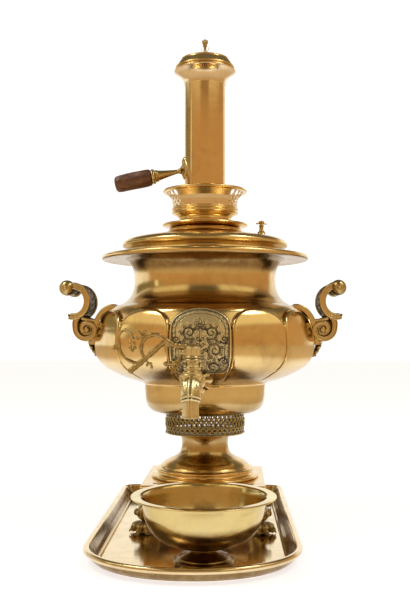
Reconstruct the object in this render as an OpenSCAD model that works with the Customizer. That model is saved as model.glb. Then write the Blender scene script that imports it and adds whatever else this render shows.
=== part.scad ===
// Charcoal-fired samovar of the vase type, standing on its serving tray with a
// drip bowl under the tap. Millimetres, +Z up. The origin is on the vertical
// axis of the samovar, in the plane of the table. The tap points to -Y.

/* [Tray] */
// Half of the width of the tray
tray_hw = 127; // [124:1:134]
// Height of the rim of the tray above the table
tray_h = 17.5; // [14:0.5:22]
// Thickness of the floor of the tray
tray_floor = 2.4; // [1.6:0.2:4]

// How far the tray stands to the left of the samovar's axis
tray_x = 9; // [0:1:12]
// Turn of the tray about the samovar's axis, in degrees
tray_yaw = 0.7; // [0:0.1:1.5]

/* [Drip bowl] */
// Outer radius of the flange of the bowl
bowl_r = 82.5; // [80:0.5:84]
// How far the bowl stands to the right of the samovar's axis
bowl_x = 7; // [0:1:9]
// Distance of the bowl's axis in front of the samovar's axis
bowl_y = 220; // [216:1:226]

/* [Foot and pedestal] */
// Side of the square plinth
plinth_w = 164; // [156:1:170]
// Height of the underside of the plinth above the table
plinth_z = 34; // [32:0.5:38]
// Distance of each foot from the axis along X and along Y
foot_d = 74; // [70:0.5:76]

/* [Body] */
// Number of embossed lobes round the belly
lobes = 12; // [12:1:12]
// Distance of the centre of each lobe from the axis
lobe_d = 60; // [59.6:0.2:60.4]
// Radius of each lobe in plan
lobe_r = 91.4; // [91:0.2:92]
// Thickness of the sheet of the body
sheet = 2; // [1.6:0.1:2.4]
// Outer radius of the flange at the mouth of the body
flange_r = 143; // [136:1:146]

/* [Fire tube and chimney] */
// Outer radius of the top spigot of the fire tube
spigot_r = 26; // [24:0.25:26.4]
// Outer radius of the chimney pipe
pipe_r = 28.5; // [28.5:0.1:28.9]
// Wall of the chimney pipe
pipe_t = 1.5; // [1.2:0.1:1.8]

/* [Tap] */
// Distance of the tap's plug axis in front of the samovar's axis
tap_y = 196; // [194:0.5:198]
// Height of the centre of the water way of the tap
tap_z = 203; // [202:0.5:204]
// Turn of the tap about the samovar's axis, in degrees
tap_yaw = -2.1; // [-3:0.1:0]
// Radius of the turning plug
plug_r = 6; // [5.5:0.1:6.4]
// Radial clearance of the plug in its seat
plug_gap = 0.05; // [0.02:0.01:0.08]
// Radius of the bore in the mouth of the spout
spout_bore = 5; // [4:0.25:5.5]

/* [Hidden] */
$fn = 96;
brass = [0.80, 0.56, 0.25];
cast = [0.66, 0.53, 0.26];
pale = [0.86, 0.70, 0.38];
dark = [0.30, 0.22, 0.13];
steel = [0.45, 0.44, 0.42];
wood = [0.30, 0.16, 0.09];

// ---- helpers ---------------------------------------------------------
// one point on a smooth curve through four points
function cr(a, b, c, d, t) =
  0.5 * ((2 * b) + (c - a) * t + (2 * a - 5 * b + 4 * c - d) * t * t
  + (3 * b - a - 3 * c + d) * t * t * t);
// smooth curve through a list of points, n steps between neighbours
function smooth(p, n) = concat(
  [for (i = [0 : len(p) - 2]) for (k = [0 : n - 1])
    cr(p[max(i - 1, 0)], p[i], p[i + 1], p[min(i + 2, len(p) - 1)], k / n)],
  [p[len(p) - 1]]);
// outward unit normal of a profile that runs upwards
function nrm(p, i) = let (a = p[max(i - 1, 0)], b = p[min(i + 1, len(p) - 1)],
  d = b - a, l = norm(d)) [d[1] / l, -d[0] / l];
function inset(p, t) = [for (i = [0 : len(p) - 1]) p[i] - t * nrm(p, i)];
function rev(p) = [for (i = [len(p) - 1 : -1 : 0]) p[i]];

module turned(p) { rotate_extrude() polygon(p); }
module ring(r1, r2, z1, z2) {
  translate([0, 0, z1]) difference() {
    cylinder(r = r2, h = z2 - z1);
    translate([0, 0, -1]) cylinder(r = r1, h = z2 - z1 + 2);
  }
}
// solid of revolution under an upward profile, closed on the axis
module under(p) { turned(concat([[0, p[0][1]]], p, [[0, p[len(p) - 1][1]]])); }

// ---- profiles --------------------------------------------------------
belly = smooth([[86, 193], [101, 197.2], [114, 201.6], [126, 207.4],
  [134.6, 213], [141, 218.8], [146, 224.6], [149.4, 231], [151, 238.6],
  [151.4, 247], [150.6, 257], [149, 266], [146.4, 275.6], [142.4, 284.6],
  [136, 292.4]], 1);
neck = smooth([[118, 299.2], [112, 302], [105, 308.5], [100.2, 317],
  [98, 328], [98, 341], [100.5, 351], [105.5, 358.5], [112, 363]], 1);
body_p = concat(belly, [[128.6, 296.8]], neck);
cup_p = smooth([[58.8, 150.5], [71, 153], [78.6, 158.5], [82.6, 167],
  [84, 178], [84.8, 193]], 2);
ped_p = smooth([[62.5, 76], [58, 81.5], [49, 86], [39, 90.5], [34, 97],
  [32.2, 106], [32.6, 114], [35.5, 119.5]], 2);

// plan of the lobed belly, grown or shrunk by e
module lobed_plan(e) {
  circle(r = lobe_d + 40 + e);
  for (i = [0 : lobes - 1]) rotate([0, 0, -90 + i * 360 / lobes])
    translate([lobe_d, 0]) circle(r = lobe_r + e);
}
module body_outer() {
  intersection() {
    under(body_p);
    translate([0, 0, 190]) linear_extrude(180) lobed_plan(0);
  }
}
// the belly alone, for trimming what is fastened to it
module belly_only() {
  intersection() {
    under(belly);
    translate([0, 0, 190]) linear_extrude(110) lobed_plan(0);
  }
}
module body_inner() {
  ip = inset(body_p, sheet);
  intersection() {
    under(concat([[79, 190], [82, 195.4]],
      [for (q = ip) if (q[0] > 90 && q[1] > 196) q], [[111, 370]]));
    translate([0, 0, 188]) linear_extrude(190) lobed_plan(-sheet);
  }
}

// ---- tray and bowl ---------------------------------------------------
tray_back = 172;
tray_mid = -194;
tray_front = 108;
sq = 2.1;
// outline of the tray, drawn in by d
function tray_ring(d, z) = concat(
  [for (a = [0 : 3 : 180]) [
    (tray_hw - d) * sign(cos(a)) * pow(abs(cos(a)), 2 / sq),
    tray_mid - (tray_front - d) * pow(sin(a), 2 / sq), z]],
  [for (a = [180 : -10 : 90]) [
    -(tray_hw - 20) + (20 - d) * cos(a), tray_back - 20 + (20 - d) * sin(a), z]],
  [for (a = [90 : -10 : 0]) [
    (tray_hw - 20) + (20 - d) * cos(a), tray_back - 20 + (20 - d) * sin(a), z]]);
module tray() {
  color(pale) translate([-tray_x, 0, 0]) rotate([0, 0, tray_yaw]) {
    r = [tray_ring(12, 0), tray_ring(8.6, 1.2), tray_ring(6.4, 4),
      tray_ring(4.8, 9.6), tray_ring(1.4, tray_h - 6.8),
      tray_ring(0, tray_h - 4.6), tray_ring(0, tray_h - 2),
      tray_ring(1.8, tray_h), tray_ring(5.2, tray_h),
      tray_ring(6.6, tray_h - 1.6), tray_ring(7.6, 9.6),
      tray_ring(9.8, 5), tray_ring(12.4, tray_floor + 0.6),
      tray_ring(15, tray_floor)];
    n = len(r[0]);
    m = len(r);
    polyhedron(points = [for (q = r) for (p = q) p],
      faces = concat([[for (i = [0 : n - 1]) i]],
        [for (k = [0 : m - 2]) for (i = [0 : n - 1])
          [k * n + (i + 1) % n, k * n + i, (k + 1) * n + i,
            (k + 1) * n + (i + 1) % n]],
        [[for (i = [n - 1 : -1 : 0]) (m - 1) * n + i]]));
  }
}

module drip_bowl() {
  color(pale) translate([bowl_x, -bowl_y, tray_floor]) turned(concat(
    [[0, 4.5], [22, 3], [27.5, 0], [33.5, 0], [34, 1.6], [32.6, 3.2],
      [29.5, 4.4], [28.2, 6.6], [24, 8.2], [19, 10.6], [16, 13.4],
      [15.6, 16], [18, 18.2], [26, 19.2], [36, 21.2], [47.4, 25.6],
      [57, 32.8], [63.8, 42.4], [67.6, 53], [69.4, 64], [70.6, 70],
      [72.6, 72.6], [bowl_r - 1, 73.6], [bowl_r, 74.4], [bowl_r, 75.4],
      [bowl_r - 1.4, 76.2]],
    [[74.4, 75.6], [71, 74.4], [68.8, 70.6], [67.2, 62.6], [65.2, 53.6],
      [61.4, 43.8], [54.8, 34.6], [45.6, 27.8], [35, 23.6], [20, 21.8],
      [0, 21.2]]));
}

// ---- feet, plinth and pedestal ---------------------------------------
// one cast paw foot, drawn for the +X +Y corner
module foot(a) {
  color(cast) rotate([0, 0, a]) translate([foot_d, foot_d, 0])
  difference() {
    union() {
      translate([-14, -14, plinth_z - 5]) cube([24, 24, 5]);
      translate([1, 1, 13]) cylinder(r1 = 8, r2 = 5.2, h = 10);
      translate([-1, -1, 22]) cylinder(r1 = 5.2, r2 = 10, h = 7.2);
      translate([0, 0, 9]) sphere(r = 8.6);
      translate([9, 2, 8]) sphere(r = 6.4);
      translate([2, 9, 8]) sphere(r = 6.4);
      translate([8, 8, 8]) sphere(r = 6.4);
      translate([9, 9, 26.5]) sphere(r = 4);
      translate([5, 5, 23]) sphere(r = 5.4);
      translate([3, 3, tray_floor]) cylinder(r = 11, h = 3);
    }
    translate([-30, -30, -20]) cube([60, 60, 20 + tray_floor]);
    translate([-30, -30, plinth_z]) cube([60, 60, 20]);
    translate([-4, -4, 20]) cylinder(r = 2.5, h = 20);
  }
}
module foot_front_left() { foot(180); }
module foot_front_right() { foot(270); }
module foot_rear_left() { foot(90); }
module foot_rear_right() { foot(0); }
module foot_screws() {
  color(steel) for (a = [0 : 90 : 270]) rotate([0, 0, a])
    translate([foot_d - 4, foot_d - 4, 0]) {
      translate([0, 0, 21]) cylinder(r = 2.5, h = plinth_z + 2.5 - 21);
      translate([0, 0, plinth_z + 2.5]) cylinder(r = 4.6, h = 2.6);
    }
}
module plinth() {
  h = plinth_w / 2;
  color(brass) difference() {
    union() {
      translate([-h + 1, -h + 1, plinth_z]) cube([2 * h - 2, 2 * h - 2, 3]);
      translate([-h, -h, plinth_z + 1]) cube([2 * h, 2 * h, 3.5]);
      translate([-h + 4, -h + 4, plinth_z + 4]) cube([2 * h - 8, 2 * h - 8, 19]);
      translate([-h + 1, -h + 1, plinth_z + 22]) cube([2 * h - 2, 2 * h - 2, 2.4]);
      translate([-h, -h, plinth_z + 23.6]) cube([2 * h, 2 * h, 4.4]);
    }
    // hollow, open below inside a flange that carries the feet
    translate([-h + 7, -h + 7, plinth_z + 2.5])
      cube([2 * h - 14, 2 * h - 14, 23]);
    translate([0, 0, plinth_z - 1]) cylinder(r = 60, h = 10);
    translate([0, 0, plinth_z + 20]) cylinder(r = 52, h = 20);
    for (a = [0 : 90 : 270]) rotate([0, 0, a])
      translate([foot_d - 4, foot_d - 4, plinth_z - 1]) cylinder(r = 2.5, h = 6);
  }
}
module pedestal() {
  p = concat([[74, plinth_z + 28], [74.4, plinth_z + 30], [73.4, plinth_z + 31.4],
    [69, plinth_z + 32], [66.4, plinth_z + 34.4], [67.6, plinth_z + 36.6],
    [67, plinth_z + 38.8], [64, plinth_z + 40.4]], ped_p, [[35.5, 122]]);
  color(brass) turned(concat(p,
    [[30.6, 122], [30.6, 114], [30.2, 106], [32, 96], [37.6, 88.6],
      [48, 83.6], [56, 79], [60, 74], [61, 66], [62, plinth_z + 28]]));
}

// ---- draught gallery, grate and lower cup ----------------------------
gal_n = 30;
module air_gallery() {
  color(cast) {
    difference() {
      ring(52.4, 54.6, 124.6, 148.2);
      for (i = [0 : gal_n - 1]) rotate([0, 0, (i + 0.5) * 360 / gal_n])
        translate([50, 0, 136]) rotate([0, 90, 0]) cylinder(r = 3.4, h = 8);
    }
    turned([[30.6, 122], [55, 122], [55, 124.6], [51.6, 124.6], [51.6, 124],
      [30.6, 124]]);
    ring(51.6, 55, 148.2, 150.5);
  }
}
module fire_grate() {
  color(dark) translate([0, 0, 156]) difference() {
    cylinder(r = 44.2, h = 3);
    for (i = [-4 : 4]) translate([i * 8.6 - 1.8, -sqrt(38 * 38 - i * i * 74), -1])
      cube([3.6, 2 * sqrt(38 * 38 - i * i * 74), 5]);
  }
}
module base_cup() {
  color(brass) difference() {
    under(cup_p);
    turned([[0, 152.6], [57, 152.6], [69.5, 155], [76.4, 160], [80.4, 168],
      [81.8, 178], [82.6, 194], [0, 194]]);
    translate([0, 0, 140]) cylinder(r = 48, h = 30);
  }
}

// ---- body ------------------------------------------------------------
neck_r = 120;
module body_shell() {
  color(brass) difference() {
    body_outer();
    body_inner();
    translate([0, 0, 288]) cylinder(r = neck_r, h = 90);
    translate([0, 0, 150]) cylinder(r = 79, h = 50);
    // water way of the tap
    rotate([0, 0, tap_yaw]) translate([0, 0, tap_z]) rotate([90, 0, 0])
      cylinder(r = 6, h = 200);
    for (s = [-1, 1]) for (y = [-16, 16]) translate([0, y, 270])
      rotate([0, s * 90, 0]) cylinder(r = 2.5, h = 200);
  }
}
// the neck is a sheet of its own, soldered to the shoulder
module body_neck() {
  color(brass) difference() {
    intersection() {
      under(body_p);
      translate([0, 0, 288]) cylinder(r = neck_r, h = 90);
    }
    body_inner();
    translate([0, 0, 280]) cylinder(r = 90, h = 100);
  }
}
module rim_flange() {
  color(brass) turned([[99, 363], [flange_r - 6, 363], [flange_r - 4.6, 361.4],
    [flange_r - 2, 361], [flange_r, 362.6], [flange_r, 366.4],
    [flange_r - 2, 368.2], [flange_r - 5, 368.2], [flange_r - 6.4, 366.5],
    [99, 366.5]]);
}
module fire_tube() {
  o = [[56, 152.6], [56, 154.8], [50, 155.6], [48.4, 162], [46.5, 200],
    [40.5, 300], [36, 352], [34.5, 372], [34.5, 404], [spigot_r, 404],
    [spigot_r, 424]];
  color(dark) turned(concat(o, [[spigot_r - 2.2, 424], [spigot_r - 2.2, 402],
    [31.6, 398], [32, 372], [33.6, 352], [38.2, 300], [44.2, 200],
    [44.2, 155], [44.2, 152.6]]));
}

// ---- handles ---------------------------------------------------------
// arc-shaped bar in the XZ plane, middle radius r, half thickness t
module arc_bar(x, z, r, t, a0, a1) {
  translate([x, z]) difference() {
    intersection() {
      circle(r = r + t);
      polygon(concat([[0, 0]], [for (k = [0 : 8]) let (a = a0 + (a1 - a0) * k / 8)
        2.2 * r * [cos(a), sin(a)]]));
    }
    circle(r = r - t);
  }
}
// the side view of a handle, for the +X side
module handle_side(ball_x) {
  translate([ball_x, 323]) circle(r = 9.3);
  arc_bar(183, 305, 22.5, 4.2, 72, 278);
  translate([186.2, 282.7]) circle(r = 4.2);
  translate([172, 282]) circle(r = 4.6);
  arc_bar(157, 266, 17, 4.4, -80, 68);
  translate([160, 249.3]) circle(r = 4.4);
  polygon([[138, 262], [158, 259], [166, 262], [175, 278], [167, 286],
    [156, 277], [138, 281]]);
  polygon([[138, 243], [160, 245], [168, 251], [158, 254], [138, 257]]);
}
module handle_cast(ball_x) {
  color(cast) difference() {
    union() {
      translate([0, 33, 0]) rotate([90, 0, 0]) linear_extrude(66) handle_side(ball_x);
      translate([134, -26, 258]) cube([26, 52, 24]);
    }
    belly_only();
    for (y = [-16, 16]) translate([100, y, 270]) rotate([0, 90, 0])
      cylinder(r = 2.5, h = 58);
  }
}
module handle_right() { handle_cast(187); }
module handle_left() { mirror([1, 0, 0]) handle_cast(193); }
// studs with their nuts inside the body
module handle_nuts() {
  color(steel) for (s = [-1, 1]) for (y = [-16, 16])
    translate([s * 134, y, 270]) rotate([0, s * 90, 0]) {
      cylinder(r = 2.5, h = 24);
      translate([0, 0, 5.6]) cylinder(r = 5.2, h = 3.4, $fn = 6);
    }
}

// ---- tap -------------------------------------------------------------
module tap_flange() {
  color(cast) rotate([0, 0, tap_yaw]) difference() {
    union() {
      translate([0, -90, tap_z]) rotate([90, 0, 0]) cylinder(r = 19, h = 43);
      translate([0, -133, tap_z]) rotate([90, 0, 0])
        cylinder(r1 = 19, r2 = 11, h = 6);
    }
    rotate([0, 0, -tap_yaw]) belly_only();
    translate([0, -80, tap_z]) rotate([90, 0, 0]) cylinder(r = 8.2, h = 70);
    translate([0, 0, 150]) cylinder(r = 86.5, h = 60);
  }
}
module tap_body() {
  color(cast) rotate([0, 0, tap_yaw]) difference() {
    union() {
      // tail soldered into the body, inlet pipe and barrel
      translate([0, -94, tap_z]) rotate([90, 0, 0]) cylinder(r = 6, h = 62);
      difference() {
        translate([0, -90, tap_z]) rotate([90, 0, 0]) cylinder(r = 8.2, h = 98);
        rotate([0, 0, -tap_yaw]) belly_only();
      }
      translate([0, -141, tap_z]) rotate([90, 0, 0]) cylinder(r = 10.4, h = 3);
      translate([0, -tap_y, 190]) cylinder(r = 10.6, h = 42);
      translate([0, -tap_y, 215]) cylinder(r = 11.6, h = 5);
      // spout: out, round the bend and down to the mouth
      translate([0, -tap_y - 2, tap_z]) rotate([90, 0, 0]) cylinder(r = 8.8, h = 10);
      translate([0, -tap_y - 12, tap_z - 12]) rotate([90, 0, -90])
        rotate_extrude(angle = 90) translate([12, 0]) circle(r = 8.8);
      translate([0, -tap_y - 24, 177]) cylinder(r = 8.8, h = 14.5);
      translate([0, -tap_y - 24, 165]) cylinder(r1 = 10.6, r2 = 8.8, h = 12.5);
      translate([0, -tap_y - 24, 181]) cylinder(r = 10, h = 3);
    }
    translate([0, -90, tap_z]) rotate([90, 0, 0]) cylinder(r = 4, h = 118);
    translate([0, -tap_y - 24, 150]) cylinder(r = spout_bore, h = tap_z - 150);
    translate([0, -tap_y, 180]) cylinder(r = plug_r + plug_gap, h = 60);
  }
}
module tap_plug() {
  color(cast) rotate([0, 0, tap_yaw]) difference() {
    union() {
      translate([0, -tap_y, 182]) cylinder(r = plug_r, h = 50.3);
      translate([0, -tap_y, 232.2]) cylinder(r = 9.6, h = 14);
      translate([0, -tap_y, 232.2]) cylinder(r = 10.4, h = 1.8);
      translate([0, -tap_y, 246.2]) cylinder(r1 = 9.6, r2 = 6, h = 2.4);
      translate([0, -tap_y, 179]) cylinder(r = 3, h = 6);
    }
    translate([0, -tap_y + 20, tap_z]) rotate([90, 0, 0]) cylinder(r = 3.8, h = 40);
    translate([0, -tap_y, 239]) rotate([0, 90, 0]) translate([0, 0, -20])
      cylinder(r = 2.6, h = 20);
  }
}
// the branch-shaped key: points are measured from the plug axis, outwards
// along X and up along Z
k_stem = smooth([[-12, 239], [-19, 241], [-27, 245], [-36, 251], [-46, 253.5],
  [-54.5, 247], [-58, 239], [-56.6, 229]], 2);
k_rod = smooth([[-15, 240], [-26, 242], [-38, 239.5], [-49, 229], [-69, 213.8]], 2);
k_curl = smooth([[-60, 220.5], [-71, 224.5], [-80, 234], [-81.6, 245],
  [-80, 255], [-74.5, 259], [-67, 255], [-64, 246], [-66, 238]], 2);
k_loop = smooth([[-17, 241], [-14, 235], [-15.5, 226], [-22, 223], [-30, 223.6]], 2);
// a flat ribbon of width w along a path
module bead_path(p, w) {
  polygon(concat([for (i = [0 : len(p) - 1]) p[i] + w / 2 * nrm(p, i)],
    [for (i = [len(p) - 1 : -1 : 0]) p[i] - w / 2 * nrm(p, i)]));
}
module tap_key() {
  color(cast) rotate([0, 0, tap_yaw]) {
    translate([0, -tap_y + 2.1, 0]) rotate([90, 0, 0]) linear_extrude(4.2) {
      bead_path(k_stem, 4.4);
      bead_path(k_rod, 5.6);
      bead_path(k_curl, 4);
      bead_path(k_loop, 4);
      translate([-66, 236]) circle(r = 4);
      translate([-56.6, 229]) circle(r = 3.4);
    }
    translate([-14, -tap_y, 239]) rotate([0, 90, 0]) cylinder(r = 2.6, h = 9);
  }
}
module plug_washer() {
  color(cast) rotate([0, 0, tap_yaw]) translate([0, -tap_y, 187.5]) difference() {
    cylinder(r = 8.4, h = 2.4);
    translate([0, 0, -1]) cylinder(r = plug_r, h = 5);
  }
}
module plug_nut() {
  color(cast) rotate([0, 0, tap_yaw]) translate([0, -tap_y, 182.5]) difference() {
    cylinder(r = 7.8, h = 5, $fn = 6);
    translate([0, 0, -1]) cylinder(r = plug_r, h = 8);
  }
}

// ---- lid and vent ----------------------------------------------------
vent_a = -22;
vent_x = 84 * cos(vent_a);
vent_y = 84 * sin(vent_a);
module lid() {
  color(brass) difference() {
    union() {
      turned([[112, 366.5], [113, 368.6], [109, 370.6], [107.6, 374],
        [109.4, 377.6], [113.4, 379.8], [115.2, 381.6], [114.2, 385],
        [110.5, 388.4], [104, 390.8], [96, 392.6], [85, 394.8], [70.7, 397],
        [52, 399], [37, 399.5], [37, 397], [52, 396.5], [70, 394.6],
        [84, 392.2], [95, 390], [103, 388.2], [109, 385.8], [111.6, 382.6],
        [107, 379.4], [105, 376], [104.6, 371], [105, 368.4], [92, 368.4],
        [92, 352], [94, 352], [94, 366.5]]);
      translate([vent_x, vent_y, 390]) cylinder(r = 5.4, h = 6);
    }
    translate([vent_x, vent_y, 380]) cylinder(r = 2.2, h = 30);
  }
}
module lid_collar() {
  color(brass) turned(concat([[37, 399.5], [46, 399.4]],
    [for (a = [-90 : 15 : 90]) [46.4 + 4.6 * cos(a), 403.6 + 3.4 * sin(a)]],
    [[37, 407]]));
}
module vent_seat() {
  color(cast) translate([vent_x, vent_y, 0]) turned([[1.6, 388], [2.2, 388],
    [2.2, 396], [5.4, 396], [5.2, 397.6], [3.4, 399.4], [2.8, 401],
    [2.8, 404.4], [3.4, 405.4], [1.6, 405.4]]);
}
module vent_cap() {
  color(cast) translate([vent_x, vent_y, 0]) union() {
    turned([[0, 396], [1.55, 396], [1.55, 405.5], [3.4, 405.5], [3, 407],
      [2.2, 408.4], [3.9, 410], [4, 411.6], [3, 412.8], [0, 413.4]]);
    translate([0, 0, 409.4]) rotate([0, 90, 20]) translate([0, 0, -8])
      cylinder(r = 1, h = 16);
  }
}

// ---- crown -----------------------------------------------------------
module crown_plate() {
  color(brass) turned([[30, 407], [48, 407], [52, 408.6], [58.4, 409.6],
    [59.6, 410.8], [58.8, 412.2], [52, 412], [42, 414], [30, 414]]);
}
crown_n = 22;
module crown_ring() {
  color(brass) {
    turned([[27, 414], [37.4, 414], [38.2, 416], [36.2, 418], [36.2, 421.4],
      [39, 423.6], [44, 426], [45.6, 429], [45.6, 434], [43.4, 434],
      [43.4, 430], [41, 427.4], [35, 425], [32.6, 422], [32.6, 418], [27, 418]]);
    difference() {
      ring(43.4, 45.6, 434, 449);
      for (i = [0 : crown_n - 1]) rotate([0, 0, i * 360 / crown_n])
        translate([40, 0, 441.5]) rotate([0, 90, 0]) cylinder(r = 4.2, h = 10);
    }
    turned([[43.4, 449], [45.6, 449], [49, 452], [53.6, 455.4], [57.6, 456.6],
      [58.2, 458.4], [56.6, 459.8], [52, 458.8], [47, 455], [43.4, 451]]);
    ring(pipe_r + 0.15, 30.4, 418, 424);
  }
}

// ---- chimney ---------------------------------------------------------
grip_a = 11.6;
// stands a piece on the side of the pipe, its +Z along the grip's axis
module on_grip() {
  translate([-pipe_r, 0, 489]) rotate([0, -90 - grip_a, 0]) children();
}
module pipe_bore(e) { translate([0, 0, 400]) cylinder(r = pipe_r + e, h = 240); }
module chimney_pipe() {
  color(brass) ring(pipe_r - pipe_t, pipe_r, 418, 614);
}
module chimney_bell() {
  color(brass) turned([[pipe_r, 608], [29.5, 608.4], [29.2, 611.6],
    [29.8, 614.6], [31.6, 617.4], [34.6, 620], [38, 622.2], [40.8, 624.4],
    [42.2, 625.8], [43, 627.4], [42.8, 629], [41.6, 629.8], [40.4, 629.2],
    [38.8, 626.6], [35.6, 623.6], [32.6, 620.8], [30.6, 617.2],
    [29.9, 614], [pipe_r, 614]]);
}
module pipe_rosette() {
  color(cast) difference() {
    translate([-pipe_r + 2.2, 0, 491]) rotate([0, -90, 0])
      turned([[0, 0], [17, 0], [17, 1.6], [14.5, 4], [10, 6], [5, 7.2], [0, 7.4]]);
    pipe_bore(0);
    on_grip() translate([0, 0, -5]) cylinder(r = 2, h = 40);
  }
}
module grip_socket() {
  color(cast) difference() {
    on_grip() turned([[2, 4], [3.4, 4], [3, 8], [3.4, 12], [5.2, 26],
      [7.2, 38], [8, 42], [2, 42]]);
    translate([-pipe_r + 2.2, 0, 491]) rotate([0, -90, 0])
      turned([[0, 0], [17, 0], [17, 1.6], [14.5, 4], [10, 6], [5, 7.2], [0, 7.4]]);
    pipe_bore(0);
  }
}
module grip_ferrule() {
  color(brass) on_grip() turned([[2, 42], [9.4, 42], [10.4, 43.4],
    [10.4, 46], [9.6, 47.4], [2, 47.4]]);
}
module grip_tang() {
  color(steel) difference() {
    on_grip() translate([0, 0, -1]) cylinder(r = 2, h = 86);
    pipe_bore(0);
  }
}
module wooden_grip() {
  color(wood) on_grip() difference() {
    turned([[0, 47.4], [10.4, 47.4], [11.8, 49], [12.3, 56], [12.4, 76],
      [12.2, 92], [11, 97.4], [8, 99.6], [0, 100]]);
    translate([0, 0, 30]) cylinder(r = 2, h = 55);
  }
}

// ---- chimney cap -----------------------------------------------------
module chimney_cap() {
  color(brass) difference() {
    turned([[24.9, 606.2], [26.5, 606.2], [26.5, 614], [29.2, 616.8],
      [30, 619], [32, 622.1], [35, 625], [38, 627.8], [39.2, 629.6],
      [40.2, 630.5], [41.4, 630.9], [41.2, 631.8], [40.2, 632.6],
      [37.6, 636.2], [34.2, 640.4], [33.8, 641.2], [34, 642.2], [33.2, 643],
      [26, 644.4], [17, 646.2], [8, 648], [4, 648.8], [0, 649.2],
      [0, 647], [8, 646], [18, 643.8], [30.6, 640.8], [37, 633.2],
      [37.4, 630.6], [34, 627], [30, 623], [27.2, 618.8], [24.9, 614.4]]);
    translate([0, 0, 640]) cylinder(r = 1.5, h = 20);
  }
}
module cap_finial() {
  color(cast) {
    turned([[0, 646.4], [1.5, 646.4], [1.5, 649.2], [4.4, 649.2],
      [4.2, 650.6], [2.4, 652], [1.9, 656], [2.4, 660], [2, 664],
      [3.6, 667.4], [3.9, 669.4], [2.6, 671.6], [0, 672]]);
    translate([4.4, 0, 659]) sphere(r = 2);
    translate([-4.4, 0, 659]) sphere(r = 2);
    translate([-4.4, 0, 659]) rotate([0, 90, 0]) cylinder(r = 1, h = 8.8);
  }
}

tray();
drip_bowl();
foot_front_left();
foot_front_right();
foot_rear_left();
foot_rear_right();
foot_screws();
plinth();
pedestal();
air_gallery();
fire_grate();
base_cup();
body_shell();
body_neck();
rim_flange();
fire_tube();
handle_left();
handle_right();
handle_nuts();
tap_flange();
tap_body();
tap_plug();
tap_key();
plug_washer();
plug_nut();
lid();
lid_collar();
vent_seat();
vent_cap();
crown_plate();
crown_ring();
chimney_pipe();
chimney_bell();
pipe_rosette();
grip_socket();
grip_ferrule();
grip_tang();
wooden_grip();
chimney_cap();
cap_finial();
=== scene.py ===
import math

import bpy
import numpy as np
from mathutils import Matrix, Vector


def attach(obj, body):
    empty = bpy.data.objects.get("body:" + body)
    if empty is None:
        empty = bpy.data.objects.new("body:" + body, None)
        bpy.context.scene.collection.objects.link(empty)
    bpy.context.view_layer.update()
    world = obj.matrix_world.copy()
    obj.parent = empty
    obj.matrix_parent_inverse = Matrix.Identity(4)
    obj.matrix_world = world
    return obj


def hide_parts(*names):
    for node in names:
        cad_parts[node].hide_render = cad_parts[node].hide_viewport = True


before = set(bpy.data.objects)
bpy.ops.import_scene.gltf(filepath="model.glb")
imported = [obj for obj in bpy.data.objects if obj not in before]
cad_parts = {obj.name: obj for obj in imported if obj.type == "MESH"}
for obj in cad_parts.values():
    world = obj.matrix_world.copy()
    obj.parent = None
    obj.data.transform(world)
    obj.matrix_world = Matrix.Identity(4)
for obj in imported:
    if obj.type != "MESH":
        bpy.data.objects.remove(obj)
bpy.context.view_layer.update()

rng = np.random.default_rng(7)
PI = math.pi


# ---- mesh helpers: every shape is built in millimetres ---------------------
class Geo:
    """Vertices, quads and triangles of one piece."""

    def __init__(self):
        self.v, self.q, self.t, self.n = [], [], [], 0

    def add(self, V, Q=None, T=None):
        V = np.asarray(V, float).reshape(-1, 3)
        if Q is not None and len(Q):
            self.q.append(np.asarray(Q, int) + self.n)
        if T is not None and len(T):
            self.t.append(np.asarray(T, int) + self.n)
        self.v.append(V)
        self.n += len(V)
        return self

    def join(self, g, M=None):
        V = np.vstack(g.v)
        if M is not None:
            V = V @ M[:, :3].T + M[:, 3]
        Q = np.vstack(g.q) if g.q else None
        T = np.vstack(g.t) if g.t else None
        if M is not None and np.linalg.det(M[:, :3]) < 0:
            Q = Q[:, ::-1] if Q is not None else None
            T = T[:, ::-1] if T is not None else None
        return self.add(V, Q, T)


def volume(V, Q, T):
    s = 0.0
    if len(T):
        s += np.einsum("ij,ij->i", V[T[:, 0]], np.cross(V[T[:, 1]], V[T[:, 2]])).sum()
    if len(Q):
        s += np.einsum("ij,ij->i", V[Q[:, 0]], np.cross(V[Q[:, 1]], V[Q[:, 2]])).sum()
        s += np.einsum("ij,ij->i", V[Q[:, 0]], np.cross(V[Q[:, 2]], V[Q[:, 3]])).sum()
    return s / 6


def closed(V, Q=None, T=None):
    """One closed skin with its faces turned outwards."""
    V = np.asarray(V, float)
    Q = np.zeros((0, 4), int) if Q is None or not len(Q) else np.asarray(Q, int)
    T = np.zeros((0, 3), int) if T is None or not len(T) else np.asarray(T, int)
    if volume(V - V.mean(0), Q, T) < 0:
        Q, T = Q[:, ::-1], T[:, ::-1]
    return Geo().add(V, Q, T)


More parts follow.
